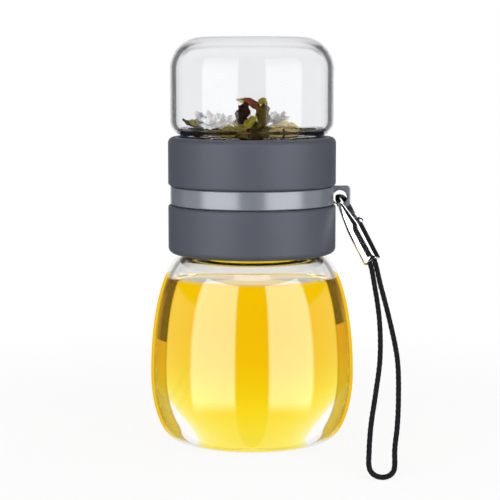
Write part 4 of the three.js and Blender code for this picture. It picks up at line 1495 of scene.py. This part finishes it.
class MakeCore(bpy.types.Operator):
    """Makes the double socket inside the collars and the two rim seals"""

    bl_idname = "tea_bottle.core"
    bl_label = "Core and seals"

    def execute(self, context):
        plastic = context.scene.tea_bottle.plastic
        dark = moulded("core_dark", plastic.core, roughness=0.45, grain=0.15)
        low, high = level_of("connector_core")
        outer = radius_of("connector_core")
        socket = SOCKET_BORE
        bore = 21.5 * MM
        web_low = level_of("bottle_seal")[1] + 0.1 * MM
        web_high = level_of("chamber_seal")[0] - 0.1 * MM
        web_round = 1.2 * MM
        soft = 0.4 * MM
        profile = [(socket, low + soft), (socket + soft, low), (outer - soft, low), (outer, low + soft),
                   (outer, high - soft), (outer - soft, high), (socket + soft, high), (socket, high - soft),
                   (socket, web_high + soft), (socket - soft, web_high)]
        profile += arc((bore + web_round, web_high - web_round), web_round, 90, 180, 5)
        profile += arc((bore + web_round, web_low + web_round), web_round, 180, 270, 5)
        profile += [(socket - soft, web_low), (socket, web_low - soft)]
        core = turned("connector_socket", profile, dark, ring=True)
        kept(core, "connector", ["connector_core"])

        milky = soft_seal(plastic.seal)
        for node, body in (("bottle_seal", "bottle_gasket"), ("chamber_seal", "chamber_gasket")):
            low, high = level_of(node)
            reach = radius_of(node)
            inside = reach - 3.1 * MM
            half = (high - low) / 2
            bulge = half * 0.6
            profile = arc((reach - bulge, low + half), (bulge, half), -90, 90, 8)
            profile += arc((inside + bulge, low + half), (bulge, half), 90, 270, 8)
            kept(turned(node + "_ring", profile, milky, ring=True), body, [node])
        return {"FINISHED"}


class MakeFilter(bpy.types.Operator):
    """Makes the filter plug in the neck of the tea chamber: frame, perforated disc and lip seal"""

    bl_idname = "tea_bottle.filter"
    bl_label = "Filter"

    def execute(self, context):
        settings = context.scene.tea_bottle
        sizes = settings.filter
        dark = moulded("filter_frame_dark", settings.plastic.core, roughness=0.42, grain=0.12)
        steel = plated("filter_steel", sizes.steel, roughness=0.22, scratch=0.1)
        low, high = level_of("filter_mesh")
        blank = linked("filter_plate", bpy.data.meshes.new("filter_plate"))
        plate = grown(blank, perforated_tree(steel), Radius=radius_of("filter_mesh"), Thickness=high - low,
                      Level=(low + high) / 2, Hole=sizes.hole_radius, Step=sizes.ring_step, Rings=sizes.rings)
        kept(plate, "filter", ["filter_mesh"])

        foot, top = level_of("filter_frame")
        outer = radius_of("filter_frame")
        bore = outer - 2.6 * MM
        groove = foot + 5 * MM
        groove_top = groove + 2.4 * MM
        deep = outer - 1 * MM
        ledge = low - 0.1 * MM
        shelf = radius_of("filter_mesh") + 0.3 * MM
        soft = 0.35 * MM
        profile = [(bore, foot + soft), (bore + soft, foot), (outer - soft, foot), (outer, foot + soft),
                   (outer, groove), (deep, groove), (deep, groove_top), (outer, groove_top),
                   (outer, top - soft), (outer - soft, top), (shelf, top), (shelf, ledge), (bore, ledge)]
        ring = turned("filter_plug", profile, dark, ring=True)
        reach, wide, tall = bore + 1.3 * MM, 0.8 * MM, 2 * MM
        corners = ((-reach, -wide), (reach, -wide), (reach, wide), (-reach, wide))
        bar = [(x, y, z) for z in (ledge - tall, ledge) for x, y in corners]
        sides = [(3, 2, 1, 0), (4, 5, 6, 7), (0, 1, 5, 4), (1, 2, 6, 5), (2, 3, 7, 6), (3, 0, 4, 7)]
        for spin in (0, math.pi / 2):
            spoke = shape("spoke", bar, sides, dark)
            spoke.data.transform(Matrix.Rotation(spin, 4, "Z"))
            cut_with(ring, spoke, "UNION")
        kept(smoothed(ring, 30), "filter", ["filter_frame"])

        low, high = level_of("filter_seal")
        inside = deep + 0.3 * MM
        edge = outer - 0.2 * MM
        bulge = (radius_of("filter_seal") - edge, (high - low) / 2)
        profile = [(inside, low), (edge, low)]
        profile += arc((edge, (low + high) / 2), bulge, -70, 70, 10)
        profile += [(edge, high), (inside, high)]
        lip = turned("filter_lip_seal", profile, soft_seal(settings.plastic.seal), ring=True)
        kept(lip, "filter", ["filter_seal"])
        return {"FINISHED"}


class MakeLeaves(bpy.types.Operator):
    """Lays the tea leaves and petals on the filter"""

    bl_idname = "tea_bottle.leaves"
    bl_label = "Leaves"

    def execute(self, context):
        leaves = context.scene.tea_bottle.leaves
        # Name, colour, colour of the tip, roughness, and how much the side veins show
        looks = [leaf_look(*finish) for finish in (
            ("leaf_brown", leaves.brown, (0.04, 0.015, 0.007), 0.6, 0.4),
            ("leaf_olive", leaves.olive, (0.10, 0.08, 0.01), 0.55, 0.6),
            ("petal_white", leaves.petal, (0.90, 0.89, 0.90), 0.5, 0.1),
            ("leaf_red", leaves.red, (0.24, 0.08, 0.04), 0.6, 0.4),
            ("leaf_lime", leaves.lime, (0.30, 0.26, 0.05), 0.55, 0.6),
            ("leaf_straw", leaves.straw, (0.55, 0.46, 0.22), 0.6, 0.3))]
        kept(leaf_heap(leaves, looks), "filter")
        kept(shelf_leaves(leaves, looks), "chamber")
        return {"FINISHED"}


OPERATORS = (MakeStage, MakeHook, MakeGlass, MakeTea, MakeCollars, MakeCore, MakeFilter, MakeLeaves)


class TeaBottlePanel(bpy.types.Panel):
    """Lists the steps that dress the tea bottle"""

    bl_idname = "VIEW3D_PT_tea_bottle"
    bl_label = "Tea Bottle"
    bl_space_type = "VIEW_3D"
    bl_region_type = "UI"
    bl_category = "Tea Bottle"

    def draw(self, context):
        for step in OPERATORS:
            self.layout.operator(step.bl_idname)


CLASSES = (GlassSizes, TeaLook, PlasticLook, HookSizes, CordSizes, FilterSizes, LeafLook, StageLook,
           TeaBottleSettings, *OPERATORS, TeaBottlePanel)


def register():
    for made in CLASSES:
        bpy.utils.register_class(made)
    bpy.types.Scene.tea_bottle = group(TeaBottleSettings, "Tea bottle", "Sizes and colours of the tea bottle")


def unregister():
    del bpy.types.Scene.tea_bottle
    for made in reversed(CLASSES):
        bpy.utils.unregister_class(made)


def main():
    register()
    for step in OPERATORS:
        name = step.bl_idname.split(".")[1]
        getattr(bpy.ops.tea_bottle, name)()


if __name__ == "__main__":
    main()
